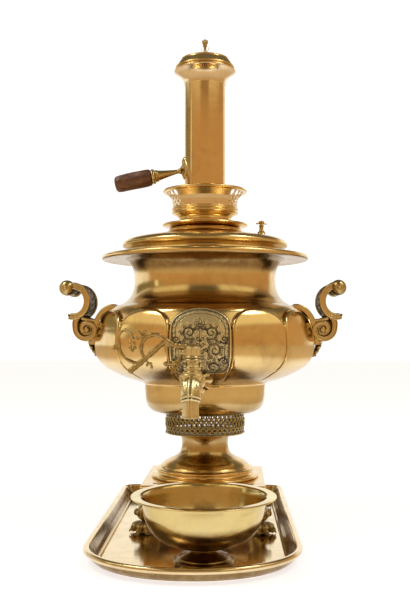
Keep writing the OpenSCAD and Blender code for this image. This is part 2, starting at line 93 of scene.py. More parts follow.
def cav_of(V, Q, T, rounds, reach):
    """How deep each vertex lies below the smoothed surface, -1..1, positive in recesses."""
    E = []
    for F in (Q, T):
        if len(F):
            k = F.shape[1]
            E += [F[:, [i, (i + 1) % k]] for i in range(k)]
    E = np.vstack(E)
    n = len(V)
    deg = np.bincount(E.ravel(), minlength=n).astype(float)
    deg[deg == 0] = 1
    S = V.copy()
    for _ in range(rounds):
        A = np.empty_like(S)
        for c in range(3):
            A[:, c] = (np.bincount(E[:, 0], S[E[:, 1], c], n)
                       + np.bincount(E[:, 1], S[E[:, 0], c], n)) / deg
        S = 0.5 * S + 0.5 * A
    N = np.zeros_like(V)
    for F in (Q, T):
        if len(F):
            fn = np.cross(V[F[:, 1]] - V[F[:, 0]], V[F[:, -1]] - V[F[:, 0]])
            for i in range(F.shape[1]):
                for c in range(3):
                    N[:, c] += np.bincount(F[:, i], fn[:, c], n)
    N /= np.linalg.norm(N, axis=1)[:, None] + 1e-12
    return np.clip(np.einsum("ij,ij->i", S - V, N) / reach, -1, 1)


def make(name, g, mat, body, nodes=(), sharp=40, cavity_and_shade=None):
    V = np.vstack(g.v) / 1000
    Q = np.vstack(g.q) if g.q else np.zeros((0, 4), int)
    T = np.vstack(g.t) if g.t else np.zeros((0, 3), int)
    me = bpy.data.meshes.new(name)
    me.vertices.add(len(V))
    me.vertices.foreach_set("co", V.ravel())
    loops = np.concatenate([Q.ravel(), T.ravel()]).astype(np.int32)
    me.loops.add(len(loops))
    me.loops.foreach_set("vertex_index", loops)
    st = np.concatenate([np.arange(len(Q)) * 4, len(Q) * 4 + np.arange(len(T)) * 3])
    me.polygons.add(len(st))
    me.polygons.foreach_set("loop_start", st.astype(np.int32))
    me.update(calc_edges=True)
    me.validate()
    me.shade_smooth()
    me.set_sharp_from_angle(angle=math.radians(sharp))
    # per-vertex darkening attribute: cavity depth here, raised later on some parts by painted shade and painted
    # reflections
    a = me.attributes.new("cavity_and_shade", "FLOAT", "POINT")
    if cavity_and_shade:
        a.data.foreach_set("value", cav_of(V * 1000, Q, T, *cavity_and_shade).astype(np.float32))
    ob = bpy.data.objects.new(name, me)
    bpy.context.scene.collection.objects.link(ob)
    me.materials.append(mat)
    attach(ob, body)
    if nodes:
        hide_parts(*nodes)
    return ob


def grid(nr, nc, wrap_r=False, wrap_c=True):
    i = np.arange(nr if wrap_r else nr - 1)
    j = np.arange(nc if wrap_c else nc - 1)
    I, J = np.meshgrid(i, j, indexing="ij")
    I2, J2 = (I + 1) % nr, (J + 1) % nc
    return np.stack([I * nc + J, I * nc + J2, I2 * nc + J2, I2 * nc + J], -1).reshape(-1, 4)


def curve(p, n=8):
    """Smooth curve through the points, n steps between neighbours."""
    p = np.asarray(p, float)
    q = np.vstack([2 * p[0] - p[1], p, 2 * p[-1] - p[-2]])
    out = []
    for i in range(1, len(q) - 2):
        a, b, c, d = q[i - 1], q[i], q[i + 1], q[i + 2]
        for k in range(n):
            t = k / n
            out.append(0.5 * (2 * b + (c - a) * t + (2 * a - 5 * b + 4 * c - d) * t * t
                              + (3 * b - a - 3 * c + d) * t ** 3))
    out.append(p[-1])
    return np.array(out)


def rounded(p, r=0.5, k=3):
    """Closed (r, z) profile with its corners rounded by at most r."""
    p = np.asarray(p, float)
    n = len(p)
    out = []
    for i in range(n):
        a, b, c = p[i - 1], p[i], p[(i + 1) % n]
        u, v = a - b, c - b
        lu, lv = np.linalg.norm(u), np.linalg.norm(v)
        if b[0] < 1e-6 or lu < 1e-6 or lv < 1e-6:
            out.append(b)
            continue
        cosang = abs(float(np.dot(u, v)) / (lu * lv))
        if cosang > 0.985:
            out.append(b)
            continue
        d = min(r, 0.42 * lu, 0.42 * lv)
        s, e = b + u / lu * d, b + v / lv * d
        for j in range(k + 1):
            t = j / k
            out.append((1 - t) ** 2 * s + 2 * t * (1 - t) * b + t * t * e)
    return np.array(out)


def spin(p, n=160, r=0.5, k=3):
    """Solid turned about Z from a closed profile."""
    p = rounded(p, r, k) if r else np.asarray(p, float)
    m = len(p)
    a = np.arange(n) * 2 * PI / n
    V, base, axis = [], [], []
    c = 0
    for (x, z) in p:
        base.append(c)
        if x < 1e-6:
            V.append([[0, 0, z]])
            axis.append(True)
            c += 1
        else:
            V.append(np.stack([x * np.cos(a), x * np.sin(a), np.full(n, z)], 1))
            axis.append(False)
            c += n
    j = np.arange(n)
    j2 = (j + 1) % n
    Q, T = [], []
    for i in range(m):
        i2 = (i + 1) % m
        if axis[i] and axis[i2]:
            continue
        if axis[i]:
            T.append(np.stack([np.full(n, base[i]), base[i2] + j2, base[i2] + j], 1))
        elif axis[i2]:
            T.append(np.stack([base[i] + j, base[i] + j2, np.full(n, base[i2])], 1))
        else:
            Q.append(np.stack([base[i] + j, base[i] + j2, base[i2] + j2, base[i2] + j], 1))
    return closed(np.vstack(V), np.vstack(Q) if Q else None, np.vstack(T) if T else None)


def move(g, x=0, y=0, z=0, rz=0.0, ry=0.0, rx=0.0, s=(1, 1, 1)):
    cz, sz, cy, sy, cx, sx = (math.cos(rz), math.sin(rz), math.cos(ry), math.sin(ry),
                              math.cos(rx), math.sin(rx))
    Rz = np.array([[cz, -sz, 0], [sz, cz, 0], [0, 0, 1]])
    Ry = np.array([[cy, 0, sy], [0, 1, 0], [-sy, 0, cy]])
    Rx = np.array([[1, 0, 0], [0, cx, -sx], [0, sx, cx]])
    M = np.zeros((3, 4))
    M[:, :3] = Rz @ Ry @ Rx @ np.diag(s)
    M[:, 3] = (x, y, z)
    return Geo().join(g, M)


def frames(P, up=(0, 1, 0)):
    """Tangent, side and normal along a path, the side kept close to up."""
    P = np.asarray(P, float)
    T = np.gradient(P, axis=0)
    T /= np.linalg.norm(T, axis=1)[:, None] + 1e-12
    U = np.asarray(up, float)
    S = U - T * (T @ U)[:, None]
    for i in range(len(S)):
        if np.linalg.norm(S[i]) < 1e-3:
            S[i] = S[i - 1] if i else np.cross(T[i], [0, 0, 1]) + [1e-3, 0, 0]
    S /= np.linalg.norm(S, axis=1)[:, None]
    return T, S, np.cross(T, S)


def loft(P, sections, up=(0, 1, 0), point0=None, point1=None):
    """Closed skin through cross-sections (side, normal) set along a path."""
    P = np.asarray(P, float)
    T, S, N = frames(P, up)
    m = len(sections[0])
    V = np.concatenate([P[i] + sections[i][:, :1] * S[i] + sections[i][:, 1:] * N[i]
                        for i in range(len(P))])
    V = V.reshape(-1, 3)
    Q = grid(len(P), m)
    a = P[0] if point0 is None else np.asarray(point0, float)
    b = P[-1] if point1 is None else np.asarray(point1, float)
    V = np.vstack([V, a, b])
    j = np.arange(m)
    j2 = (j + 1) % m
    ca, cb = len(V) - 2, len(V) - 1
    L = (len(P) - 1) * m
    Tr = np.vstack([np.stack([np.full(m, ca), j2, j], 1),
                    np.stack([np.full(m, cb), L + j, L + j2], 1)])
    return closed(V, Q, Tr)


def ring2(n, a=1.0, b=1.0, p=2.0, ph=0.0):
    t = np.arange(n) * 2 * PI / n + ph
    c, s = np.cos(t), np.sin(t)
    return np.stack([a * np.sign(c) * np.abs(c) ** (2 / p), b * np.sign(s) * np.abs(s) ** (2 / p)], 1)


def tube(P, r, n=20, up=(0, 1, 0), flat=1.0, dome=True):
    """Round bar along a path; r is one radius or one for each point."""
    P = np.asarray(P, float)
    R = np.broadcast_to(np.asarray(r, float), (len(P),)).copy()
    T = np.gradient(P, axis=0)
    T /= np.linalg.norm(T, axis=1)[:, None] + 1e-12
    if dome:
        pre = [P[0] - T[0] * R[0] * c for c in (0.98, 0.86, 0.5)]
        rr0 = [R[0] * s for s in (0.2, 0.52, 0.87)]
        post = [P[-1] + T[-1] * R[-1] * c for c in (0.5, 0.86, 0.98)]
        rr1 = [R[-1] * s for s in (0.87, 0.52, 0.2)]
        P = np.vstack([pre, P, post])
        R = np.concatenate([rr0, R, rr1])
    return loft(P, [ring2(n, R[i], R[i] * flat) for i in range(len(P))], up)


def ball(x, y, z, r, n=28):
    a = np.linspace(-PI / 2, PI / 2, n // 2 + 1)
    p = [[max(r * math.cos(t), 0), r * math.sin(t)] for t in a]
    p[0][0] = p[-1][0] = 0
    return move(spin(p, n, 0), x, y, z)


def leaf(P, width, thick, up, veins=5, cup=0.25, n=26, lobes=0, lobe_amp=0.0, mid=0.5):
    """A cast leaf along a path: side = up direction, lens-shaped, with a midrib and veins."""
    P = np.asarray(P, float)
    m = len(P)
    secs = []
    for i in range(m):
        t = i / (m - 1)
        w = width * (math.sin(PI * min(1, t / (2 * mid)) if t < mid else PI / 2 + PI / 2 * (t - mid) / (1 - mid))) ** 0.75
        w = max(w, 0.12)
        if lobes:
            w *= 1 + lobe_amp * math.cos(2 * PI * lobes * t)
        th = max(thick * (1 - 0.55 * t), 0.25)
        k = np.arange(n)
        x = np.cos(k * 2 * PI / n)
        top = np.sin(k * 2 * PI / n)
        side = w * x
        ax = np.abs(x)
        rib = np.exp(-(x / 0.14) ** 2) * 0.55 * th
        vein = 0.16 * th * np.cos(2 * PI * (veins * t - 1.3 * ax))
        nor = np.where(top >= 0, th * (0.25 + 0.75 * np.sqrt(np.maximum(0, 1 - ax ** 2))) * 0.6 + rib + vein * (ax < 0.97),
                       -th * 0.35 * np.sqrt(np.maximum(0, 1 - ax ** 2)))
        nor = nor - cup * w * ax ** 2
        secs.append(np.stack([side, nor], 1))
    return loft(P, secs, up)


# ---- materials ---------------------------------------------------------------
def nodes_of(name):
    m = bpy.data.materials.new(name)
    m.use_nodes = True
    nt = m.node_tree
    nt.nodes.clear()
    out = nt.nodes.new("ShaderNodeOutputMaterial")
    b = nt.nodes.new("ShaderNodeBsdfPrincipled")
    nt.links.new(b.outputs[0], out.inputs[0])
    return m, nt, b


def N(nt, kind, **kw):
    n = nt.nodes.new(kind)
    for k, v in kw.items():
        setattr(n, k, v)
    return n


def noise(nt, vec, scale, detail=3.0, rough=0.5, dist=0.0):
    n = N(nt, "ShaderNodeTexNoise")
    n.inputs["Scale"].default_value = scale
    n.inputs["Detail"].default_value = detail
    n.inputs["Roughness"].default_value = rough
    n.inputs["Distortion"].default_value = dist
    nt.links.new(vec, n.inputs["Vector"])
    return n.outputs[0]


def remap(nt, val, a, b, c, d):
    n = N(nt, "ShaderNodeMapRange")
    n.clamp = True
    for k, v in zip(("From Min", "From Max", "To Min", "To Max"), (a, b, c, d)):
        n.inputs[k].default_value = v
    nt.links.new(val, n.inputs["Value"])
    return n.outputs[0]


def ramp(nt, val, stops):
    n = N(nt, "ShaderNodeValToRGB")
    e = n.color_ramp.elements
    while len(e) < len(stops):
        e.new(0.5)
    for s, (p, c) in zip(e, stops):
        s.position = p
        s.color = (*c, 1)
    nt.links.new(val, n.inputs[0])
    return n.outputs[0]


def mix(nt, f, a, b, mode="MIX"):
    n = N(nt, "ShaderNodeMix", data_type="RGBA", blend_type=mode)
    ins = [s for s in n.inputs if s.type == "RGBA"]
    fac = n.inputs[0]
    for sock, v in ((fac, f), (ins[0], a), (ins[1], b)):
        if isinstance(v, (int, float)):
            sock.default_value = v
        elif isinstance(v, tuple):
            sock.default_value = (*v, 1)
        else:
            nt.links.new(v, sock)
    return [s for s in n.outputs if s.type == "RGBA"][0]


def math2(nt, op, a, b=0.5, clamp=False):
    n = N(nt, "ShaderNodeMath", operation=op)
    n.use_clamp = clamp
    for i, v in enumerate((a, b)):
        if isinstance(v, (int, float)):
            n.inputs[i].default_value = v
        else:
            nt.links.new(v, n.inputs[i])
    return n.outputs[0]


def brass(name, tones, rough=(0.06, 0.16), wob=0.05, patina_and_shade=(0.05, 0.03, 0.015), dulled=0.4, patina_shade_amt=0.0,
          patina_shade_lo=0.08, patina_shade_hi=0.6, spots=0.25, scratch=0.6, tarnish=(0.30, 0.17, 0.07), tarn=0.0,
          streak=None):
    """Aged brass: cloudy tone, smudged gloss, fine scratches, dark recesses, and painted shade where the darkening
    attribute carries it.
    """
    m, nt, b = nodes_of(name)
    b.inputs["Metallic"].default_value = 1.0
    co = N(nt, "ShaderNodeTexCoord").outputs["Object"]
    cloud = noise(nt, co, 9, 4, 0.6, 0.6)
    fine = noise(nt, co, 95, 4, 0.65)
    col = ramp(nt, math2(nt, "ADD", math2(nt, "MULTIPLY", cloud, 0.8), math2(nt, "MULTIPLY", fine, 0.2)),
               [(0.30, tones[0]), (0.52, tones[1]), (0.72, tones[2])])
    if tarn:
        tm = remap(nt, noise(nt, co, 21, 5, 0.62, 1.2), 0.50, 0.72, 0.0, tarn)
        col = mix(nt, tm, col, tarnish)
    r = remap(nt, noise(nt, co, 34, 5, 0.7, 0.8), 0.3, 0.72, rough[0], rough[1])
    if spots:
        sp = remap(nt, noise(nt, co, 420, 2, 0.5), 0.66, 0.74, 0.0, spots)
        col = mix(nt, sp, col, (0.22, 0.12, 0.05))
    if patina_shade_amt:
        # darkening from the attribute: patina in the recesses, and the painted shade and painted reflections set part
        # by part further down
        at = N(nt, "ShaderNodeAttribute", attribute_name="cavity_and_shade").outputs["Fac"]
        grime_and_shade = math2(nt, "MULTIPLY", remap(nt, at, patina_shade_lo, patina_shade_hi, 0, 1),
                      remap(nt, fine, 0.25, 0.6, 0.7, 1.0))
        grime_and_shade = math2(nt, "MULTIPLY", grime_and_shade, patina_shade_amt, True)
        worn = remap(nt, at, -0.5, -0.08, 0.55, 0.0)
        col = mix(nt, worn, col, tuple(min(1, c * 1.18) for c in tones[2]))
        col = mix(nt, grime_and_shade, col, patina_and_shade)
        r = math2(nt, "ADD", r, math2(nt, "MULTIPLY", grime_and_shade, dulled), True)
    nt.links.new(col, b.inputs["Base Color"])
    nt.links.new(r, b.inputs["Roughness"])
    mp = N(nt, "ShaderNodeMapping")
    mp.inputs["Scale"].default_value = streak or (700, 700, 90)
    nt.links.new(co, mp.inputs["Vector"])
    sc = noise(nt, mp.outputs[0], 1.0, 2, 0.5)
    wv = noise(nt, co, 16, 2, 0.4)
    bp = N(nt, "ShaderNodeBump")
    bp.inputs["Strength"].default_value = scratch * 0.1
    bp.inputs["Distance"].default_value = 0.0004
    nt.links.new(sc, bp.inputs["Height"])
    b2 = N(nt, "ShaderNodeBump")
    b2.inputs["Strength"].default_value = wob
    b2.inputs["Distance"].default_value = 0.01
    nt.links.new(wv, b2.inputs["Height"])
    nt.links.new(bp.outputs[0], b2.inputs["Normal"])
    nt.links.new(b2.outputs[0], b.inputs["Normal"])
    return m


# the patina colours below also paint the painted shade and painted reflections that the darkening attribute carries
M_POL = brass("polished_brass_mat", [(0.72, 0.50, 0.205), (0.81, 0.59, 0.26), (0.86, 0.65, 0.31)],
              rough=(0.12, 0.22), wob=0.05, spots=0.12, tarn=0.3, patina_shade_amt=0.85, patina_shade_lo=0.08, patina_shade_hi=0.7,
              patina_and_shade=(0.12, 0.055, 0.02), dulled=0.1)
M_PIPE = brass("pipe_brass_mat", [(0.72, 0.48, 0.21), (0.79, 0.55, 0.25), (0.83, 0.60, 0.29)],
               rough=(0.13, 0.24), wob=0.02, spots=0.15, tarn=0.3, streak=(90, 90, 900))
M_PALE = brass("pale_brass_mat", [(0.80, 0.61, 0.35), (0.87, 0.69, 0.43), (0.91, 0.76, 0.51)],
               rough=(0.16, 0.28), wob=0.05, spots=0.15, tarn=0.25, patina_shade_amt=0.85, patina_shade_lo=0.08, patina_shade_hi=0.7)
M_BOWL = brass("bowl_brass_mat", [(0.73, 0.55, 0.21), (0.81, 0.64, 0.27), (0.86, 0.71, 0.34)],
               rough=(0.10, 0.20), wob=0.03, spots=0.2, tarn=0.25, patina_shade_amt=0.96,
               patina_shade_lo=0.1, patina_shade_hi=0.6, patina_and_shade=(0.20, 0.11, 0.033), dulled=0.1)
M_TRAY = brass("tray_brass_mat", [(0.76, 0.58, 0.31), (0.84, 0.67, 0.38), (0.89, 0.74, 0.45)],
               rough=(0.08, 0.18), wob=0.03, spots=0.2, tarn=0.2, patina_shade_amt=0.96,
               patina_shade_lo=0.1, patina_shade_hi=0.6, patina_and_shade=(0.21, 0.115, 0.03), dulled=0.1)
M_CAST = brass("cast_brass_mat", [(0.42, 0.29, 0.11), (0.58, 0.42, 0.17), (0.72, 0.55, 0.26)],
               rough=(0.2, 0.38), wob=0.1, spots=0.35, tarn=0.35, tarnish=(0.22, 0.15, 0.06),
               patina_shade_amt=0.97, patina_shade_lo=0.02, patina_shade_hi=0.42, patina_and_shade=(0.035, 0.024, 0.012), scratch=1.0)
M_TAP = brass("tap_brass_mat", [(0.54, 0.42, 0.19), (0.70, 0.57, 0.29), (0.80, 0.68, 0.40)],
              rough=(0.22, 0.36), wob=0.08, spots=0.25, tarn=0.25, tarnish=(0.28, 0.19, 0.08),
              patina_shade_amt=0.95, patina_shade_lo=0.04, patina_shade_hi=0.5, patina_and_shade=(0.05, 0.03, 0.014), scratch=0.9)
M_GAL = brass("gallery_brass_mat", [(0.25, 0.19, 0.08), (0.37, 0.29, 0.125), (0.56, 0.46, 0.22)],
              rough=(0.2, 0.36), wob=0.06, spots=0.3, tarn=0.3, tarnish=(0.2, 0.15, 0.07),
              patina_shade_amt=0.95, patina_shade_lo=0.04, patina_shade_hi=0.5, patina_and_shade=(0.04, 0.03, 0.014))
M_PAN = brass("panel_brass_mat", [(0.76, 0.63, 0.33), (0.86, 0.74, 0.44), (0.92, 0.82, 0.54)],
              rough=(0.20, 0.32), wob=0.03, spots=0.15, tarn=0.15, tarnish=(0.4, 0.28, 0.12),
              patina_shade_amt=0.98, patina_shade_lo=0.03, patina_shade_hi=0.34, patina_and_shade=(0.05, 0.035, 0.018))
M_PAN.node_tree.nodes["Principled BSDF"].inputs["Metallic"].default_value = 0.7
M_SOOT = brass("sooty_brass_mat", [(0.10, 0.06, 0.03), (0.18, 0.11, 0.05), (0.28, 0.18, 0.08)],
               rough=(0.4, 0.65), wob=0.1, spots=0.3)


def plain(name, stops, rough, metal, scale=40, bump=0.2):
    m, nt, b = nodes_of(name)
    b.inputs["Metallic"].default_value = metal
    co = N(nt, "ShaderNodeTexCoord").outputs["Object"]
    n = noise(nt, co, scale, 5, 0.6, 0.4)
    nt.links.new(ramp(nt, n, stops), b.inputs["Base Color"])
    nt.links.new(remap(nt, noise(nt, co, scale * 2, 3), 0.3, 0.7, *rough), b.inputs["Roughness"])
    bp = N(nt, "ShaderNodeBump")
    bp.inputs["Strength"].default_value = bump
    bp.inputs["Distance"].default_value = 0.0005
    nt.links.new(noise(nt, co, scale * 8, 3), bp.inputs["Height"])
    nt.links.new(bp.outputs[0], b.inputs["Normal"])
    return m


M_STEEL = plain("steel_mat", [(0.3, (0.24, 0.23, 0.22)), (0.7, (0.46, 0.45, 0.43))], (0.28, 0.5), 1.0, 60)
M_IRON = plain("iron_mat", [(0.3, (0.03, 0.028, 0.026)), (0.7, (0.09, 0.08, 0.075))], (0.5, 0.75), 0.6, 50, 0.5)


def wood_mat():
    m, nt, b = nodes_of("grip_wood_mat")
    co = N(nt, "ShaderNodeTexCoord").outputs["Object"]
    mp = N(nt, "ShaderNodeMapping")
    mp.inputs["Rotation"].default_value = (0, math.radians(11.6), 0)
    mp.inputs["Scale"].default_value = (28, 330, 330)
    nt.links.new(co, mp.inputs["Vector"])
    g = noise(nt, mp.outputs[0], 1.0, 5, 0.6, 0.9)
    big = noise(nt, co, 70, 3, 0.6)
    col = ramp(nt, g, [(0.28, (0.045, 0.018, 0.010)), (0.5, (0.13, 0.05, 0.024)), (0.74, (0.27, 0.12, 0.055))])
    worn = remap(nt, big, 0.52, 0.7, 0.0, 0.55)
    col = mix(nt, worn, col, (0.30, 0.15, 0.075))
    at = N(nt, "ShaderNodeAttribute", attribute_name="cavity_and_shade").outputs["Fac"]
    col = mix(nt, remap(nt, at, 0.05, 0.5, 0, 0.8), col, (0.02, 0.010, 0.006))
    nt.links.new(col, b.inputs["Base Color"])
    nt.links.new(remap(nt, g, 0.3, 0.7, 0.62, 0.34), b.inputs["Roughness"])
    b.inputs["Coat Weight"].default_value = 0.25
    b.inputs["Coat Roughness"].default_value = 0.3
    bp = N(nt, "ShaderNodeBump")
    bp.inputs["Strength"].default_value = 0.35
    bp.inputs["Distance"].default_value = 0.0006
    nt.links.new(g, bp.inputs["Height"])
    nt.links.new(bp.outputs[0], b.inputs["Normal"])
    return m


M_WOOD = wood_mat()

# CAD nodes that stay in sight keep their shape and only get a finish
for nm, mt in {"fire_tube": M_SOOT, "fire_grate": M_IRON, "foot_screws": M_STEEL, "handle_nuts": M_STEEL,
               "grip_tang": M_STEEL, "vent_seat": M_CAST, "plug_washer": M_CAST,
               "plug_nut": M_CAST}.items():
    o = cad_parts[nm]
    o.data.materials.clear()
    o.data.materials.append(mt)


# ---- tray ---------------------------------------------------------------------
def tray_outline(d, na=96, nc=10):
    """Outline of the tray drawn in by d: broad rounded front, straight sides, round rear corners."""
    sq, mid, fr, back, hw = 2.1, -194.0, 108.0, 172.0, 127.0
    pts = []
    for i in range(na + 1):
        a = PI * i / na
        c, s = math.cos(a), math.sin(a)
        pts.append([(hw - d) * math.copysign(abs(c) ** (2 / sq), c), mid - (fr - d) * abs(s) ** (2 / sq)])
    for y in np.linspace(mid, back - 20, 30)[1:-1]:
        pts.append([-(hw - d), y])
    for i in range(nc + 1):
        a = PI - (PI / 2) * i / nc
        pts.append([-(hw - 20) + (20 - d) * math.cos(a), back - 20 + (20 - d) * math.sin(a)])
    for x in np.linspace(-(hw - 20), hw - 20, 24)[1:-1]:
        pts.append([x, back - d])
    for i in range(nc + 1):
        a = PI / 2 - (PI / 2) * i / nc
        pts.append([(hw - 20) + (20 - d) * math.cos(a), back - 20 + (20 - d) * math.sin(a)])
    for y in np.linspace(back - 20, mid, 30)[1:-1]:
        pts.append([hw - d, y])
    return np.array(pts)


def build_tray():
    # wall section: distance drawn in from the rim's edge, height
    sec = rounded([[15.5, 0.0], [12.4, 1.0], [8.2, 4.6], [5.4, 8.8], [4.5, 10.5], [1.8, 10.8], [0.3, 12.2], [0.0, 14.6],
                   [0.9, 16.6], [2.8, 17.5], [5.2, 17.5], [6.7, 16.7], [8.4, 14.4], [13.2, 7.2], [16.8, 3.6], [19.6, 2.4]], 0.9, 4)
    # open the rounded section between its first and last points: these carry the floors
    k0 = int(np.argmin(sec[:, 1] + 0.001 * -sec[:, 0]))
    sec = np.roll(sec, -k0, axis=0)
    rows = [np.column_stack([tray_outline(d), np.full(len(tray_outline(0)), z)]) for d, z in sec]
    n = len(rows[0])
    V = np.vstack(rows)
    Q = grid(len(rows), n)
    # floors: top and underside drawn in towards the middle line
    cx = np.zeros(n)
    cy = np.clip(rows[0][:, 1], -210, 90)

    def disc(row, z, base):
        out, q = [], []
        m = 14
        for i in range(1, m + 1):
            t = i / m
            x = row[:, 0] * (1 - t) + cx * t
            y = row[:, 1] * (1 - t) + cy * t
            zz = np.full(n, z)
            out.append(np.column_stack([x, y, zz]))
        return np.vstack(out), m

    top, m = disc(rows[-1], sec[-1][1], 0)
    bot, _ = disc(rows[0], sec[0][1], 0)
    L = len(rows)
    V = np.vstack([V, top, bot])
    j = np.arange(n)
    j2 = (j + 1) % n
    a = (L - 1) * n
    b = L * n
    Q = [Q, np.stack([a + j, a + j2, b + j2, b + j], 1), grid(m, n) + b]
    c = b + m * n
    Q += [np.stack([j2, j, c + j, c + j2], 1), grid(m, n)[:, ::-1] + c]
    g = Geo().add(V, np.vstack(Q))
    return g


def weld(ob, dist=1e-5, fix=True):
    import bmesh
    bm = bmesh.new()
    bm.from_mesh(ob.data)
    bmesh.ops.remove_doubles(bm, verts=bm.verts, dist=dist)
    bmesh.ops.dissolve_degenerate(bm, dist=1e-7, edges=bm.edges)
    if fix:
        bmesh.ops.recalc_face_normals(bm, faces=bm.faces)
    bm.to_mesh(ob.data)
    bm.free()
    ob.data.shade_smooth()


tray = make("tray_sheet", move(build_tray(), -9.0, 0, 0, rz=math.radians(0.7)), M_TRAY, "tray_body", ["tray"], sharp=30)
weld(tray)
tray.data.set_sharp_from_angle(angle=math.radians(40))


def tray_painted_shade():
    """Painted shade: brown, dull walls under the bright rolled rim."""
    me = tray.data
    n_ = len(me.vertices)
    co_v = np.empty(n_ * 3, np.float32)
    no_v = np.empty(n_ * 3, np.float32)
    me.vertices.foreach_get("co", co_v)
    me.vertices.foreach_get("normal", no_v)
    v, nn = co_v.reshape(-1, 3) * 1000, no_v.reshape(-1, 3)
    ctr = np.array([-9.0, -60.0])
    out_ = v[:, :2] - ctr
    out_ = out_ - np.stack([np.zeros(n_), np.clip(out_[:, 1], -134, 200)], 1)
    d_ = (nn[:, :2] * out_).sum(1) / np.maximum(np.linalg.norm(out_, axis=1), 1e-6)
    # painted shade: the outer wall, standing in for the shadowed floor beneath the lip that it reflects, and the inner
    # walls under the rim
    wall = (v[:, 2] > 0.2) & (v[:, 2] < 11.2) & (d_ > 0.15)
    inner = (v[:, 2] > 3.0) & (v[:, 2] < 16.4) & (nn[:, 2] > 0.1) & (nn[:, 2] < 0.97) & ~wall & (v[:, 2] < 15.6)
    c_ = np.zeros(n_, np.float32)
    c_[wall] = 0.56
    c_[inner] = 0.46
    if "cavity_and_shade" not in me.attributes:
        me.attributes.new("cavity_and_shade", "FLOAT", "POINT")
    me.attributes["cavity_and_shade"].data.foreach_set("value", c_)


tray_painted_shade()

# ---- drip bowl ------------------------------------------------------------------
BOWL_X, BOWL_Y, FLOOR = 7.0, -220.0, 2.4
bowl_out = np.vstack([
    [[0, 4.6], [20, 3.4], [27.4, 0.2], [29, 0], [33.2, 0], [34.2, 0.8], [34.2, 3.4], [33, 4.2], [31.6, 4.4],
     [30.4, 5.4], [29.8, 6.6]],
    curve([[28.6, 7.4], [24.4, 8.6], [19.6, 10.4], [16.6, 12.6], [15.4, 14.6], [15.4, 15.6]], 5),
    [[16.6, 16.0], [17.2, 16.8], [17.2, 17.6], [16.8, 18.0]],
    curve([[18.4, 18.4], [26, 19.2], [36, 21.2], [47.4, 25.6], [57, 32.8], [63.8, 42.4], [67.6, 53.0], [69.4, 63.0], [70.4, 70.4]], 6),
    curve([[70.9, 71.8], [72.4, 73.2], [75.4, 73.9], [80.6, 74.0]], 4),
    [[82.0, 74.1], [82.6, 74.7], [82.4, 75.4], [81.4, 75.8]],
    curve([[79.6, 75.8], [75.6, 75.8], [72.8, 75.6], [71.0, 74.6]], 4),
    curve([[70.0, 73.0], [68.9, 69.0], [67.6, 62.0], [65.5, 53.4], [61.7, 43.6], [55.2, 34.6], [46.0, 27.8], [35.2, 23.6], [21, 21.8], [9, 21.2]], 6),
    [[0, 21.2]]])
make("bowl_turned", move(spin(bowl_out, 192, 0.3), BOWL_X, BOWL_Y, FLOOR), M_BOWL, "bowl_body", ["drip_bowl"])


# ---- plinth -----------------------------------------------------------------------
def square_ring(profile, corner=1.2, nc=4, ns=10):
    """Solid whose section (half-width, z) runs round a square with slightly rounded corners."""
    prof = rounded(profile, 0.5, 3)
    rows = []
    for h, z in prof:
        pts = []
        for q in range(4):
            a0 = q * PI / 2
            cx, cy = (h - corner) * math.copysign(1, math.cos(a0 + PI / 4)), (h - corner) * math.copysign(1, math.sin(a0 + PI / 4))
            for k in range(nc + 1):
                a = a0 + (PI / 2) * k / nc
                pts.append([cx + corner * math.cos(a), cy + corner * math.sin(a), z])
            nx, ny = (h - corner) * math.copysign(1, math.cos(a0 + 3 * PI / 4)), (h - corner) * math.copysign(1, math.sin(a0 + 3 * PI / 4))
            e = np.array([nx + corner * math.cos(a0 + PI / 2), ny + corner * math.sin(a0 + PI / 2), z])
            s = np.array(pts[-1])
            for k in range(1, ns):
                pts.append(list(s + (e - s) * k / ns))
        rows.append(pts)
    V = np.array(rows).reshape(-1, 3)
    return closed(V, grid(len(prof), len(rows[0]), wrap_r=True))


g = square_ring([[80.6, 34], [81.4, 35.2], [82, 36.2], [82, 38.2], [80.4, 38.8], [78.4, 40], [78, 41.6], [78, 55.4],
                 [78.6, 56.6], [80.6, 57.2], [82, 57.8], [82, 61.2], [81.2, 62], [76, 62], [66, 62], [66, 60], [76.4, 60],
                 [76.4, 36.2], [62, 36.2], [62, 34]])
# top plate between the square and the pedestal's foot: annulus to square
n = 4 * 15
rows = []
for r, z in ((66.5, 62.0), (50, 62.0), (50, 60.0), (66.5, 60.0)):
    a = np.arange(n) * 2 * PI / n
    if r > 60:
        s = r / np.maximum(np.abs(np.cos(a)), np.abs(np.sin(a)))
    else:
        s = np.full(n, float(r))
    rows.append(np.stack([s * np.cos(a), s * np.sin(a), np.full(n, z)], 1))
g.join(closed(np.vstack(rows), grid(4, n, wrap_r=True)))
make("plinth_cast", g, M_POL, "samovar_body", ["plinth"], sharp=35)

# ---- pedestal ----------------------------------------------------------------------
ped = np.vstack([
    [[73.4, 62.0], [74.6, 62.8], [74.8, 64.6], [74.0, 65.8], [72.0, 66.2], [70.6, 66.6]],
    [[68.6, 67.0], [67.0, 68.6], [66.6, 70.4], [67.4, 71.2], [68.2, 72.4], [67.8, 74.0], [66.4, 74.8], [64.4, 75.0]],
    curve([[63.0, 75.8], [60.6, 79.0], [55.6, 83.0], [48.8, 86.4], [42.6, 89.0], [37.6, 92.2], [34.4, 96.6], [32.8, 101.6],
           [32.2, 107.0], [32.4, 112.0], [33.4, 116.4], [35.0, 119.6]], 6),
    [[36.2, 120.4], [36.8, 121.2], [36.4, 122.0], [31.2, 122.0]],
    curve([[30.8, 114], [30.4, 106], [32, 96.5], [37.4, 89.4], [47.6, 84.2], [56, 79.4], [60.2, 74.2], [61.2, 66.4]], 4),
    [[62, 62.0]]])
make("pedestal_turned", spin(ped, 192, 0.4), M_POL, "samovar_body", ["pedestal"])

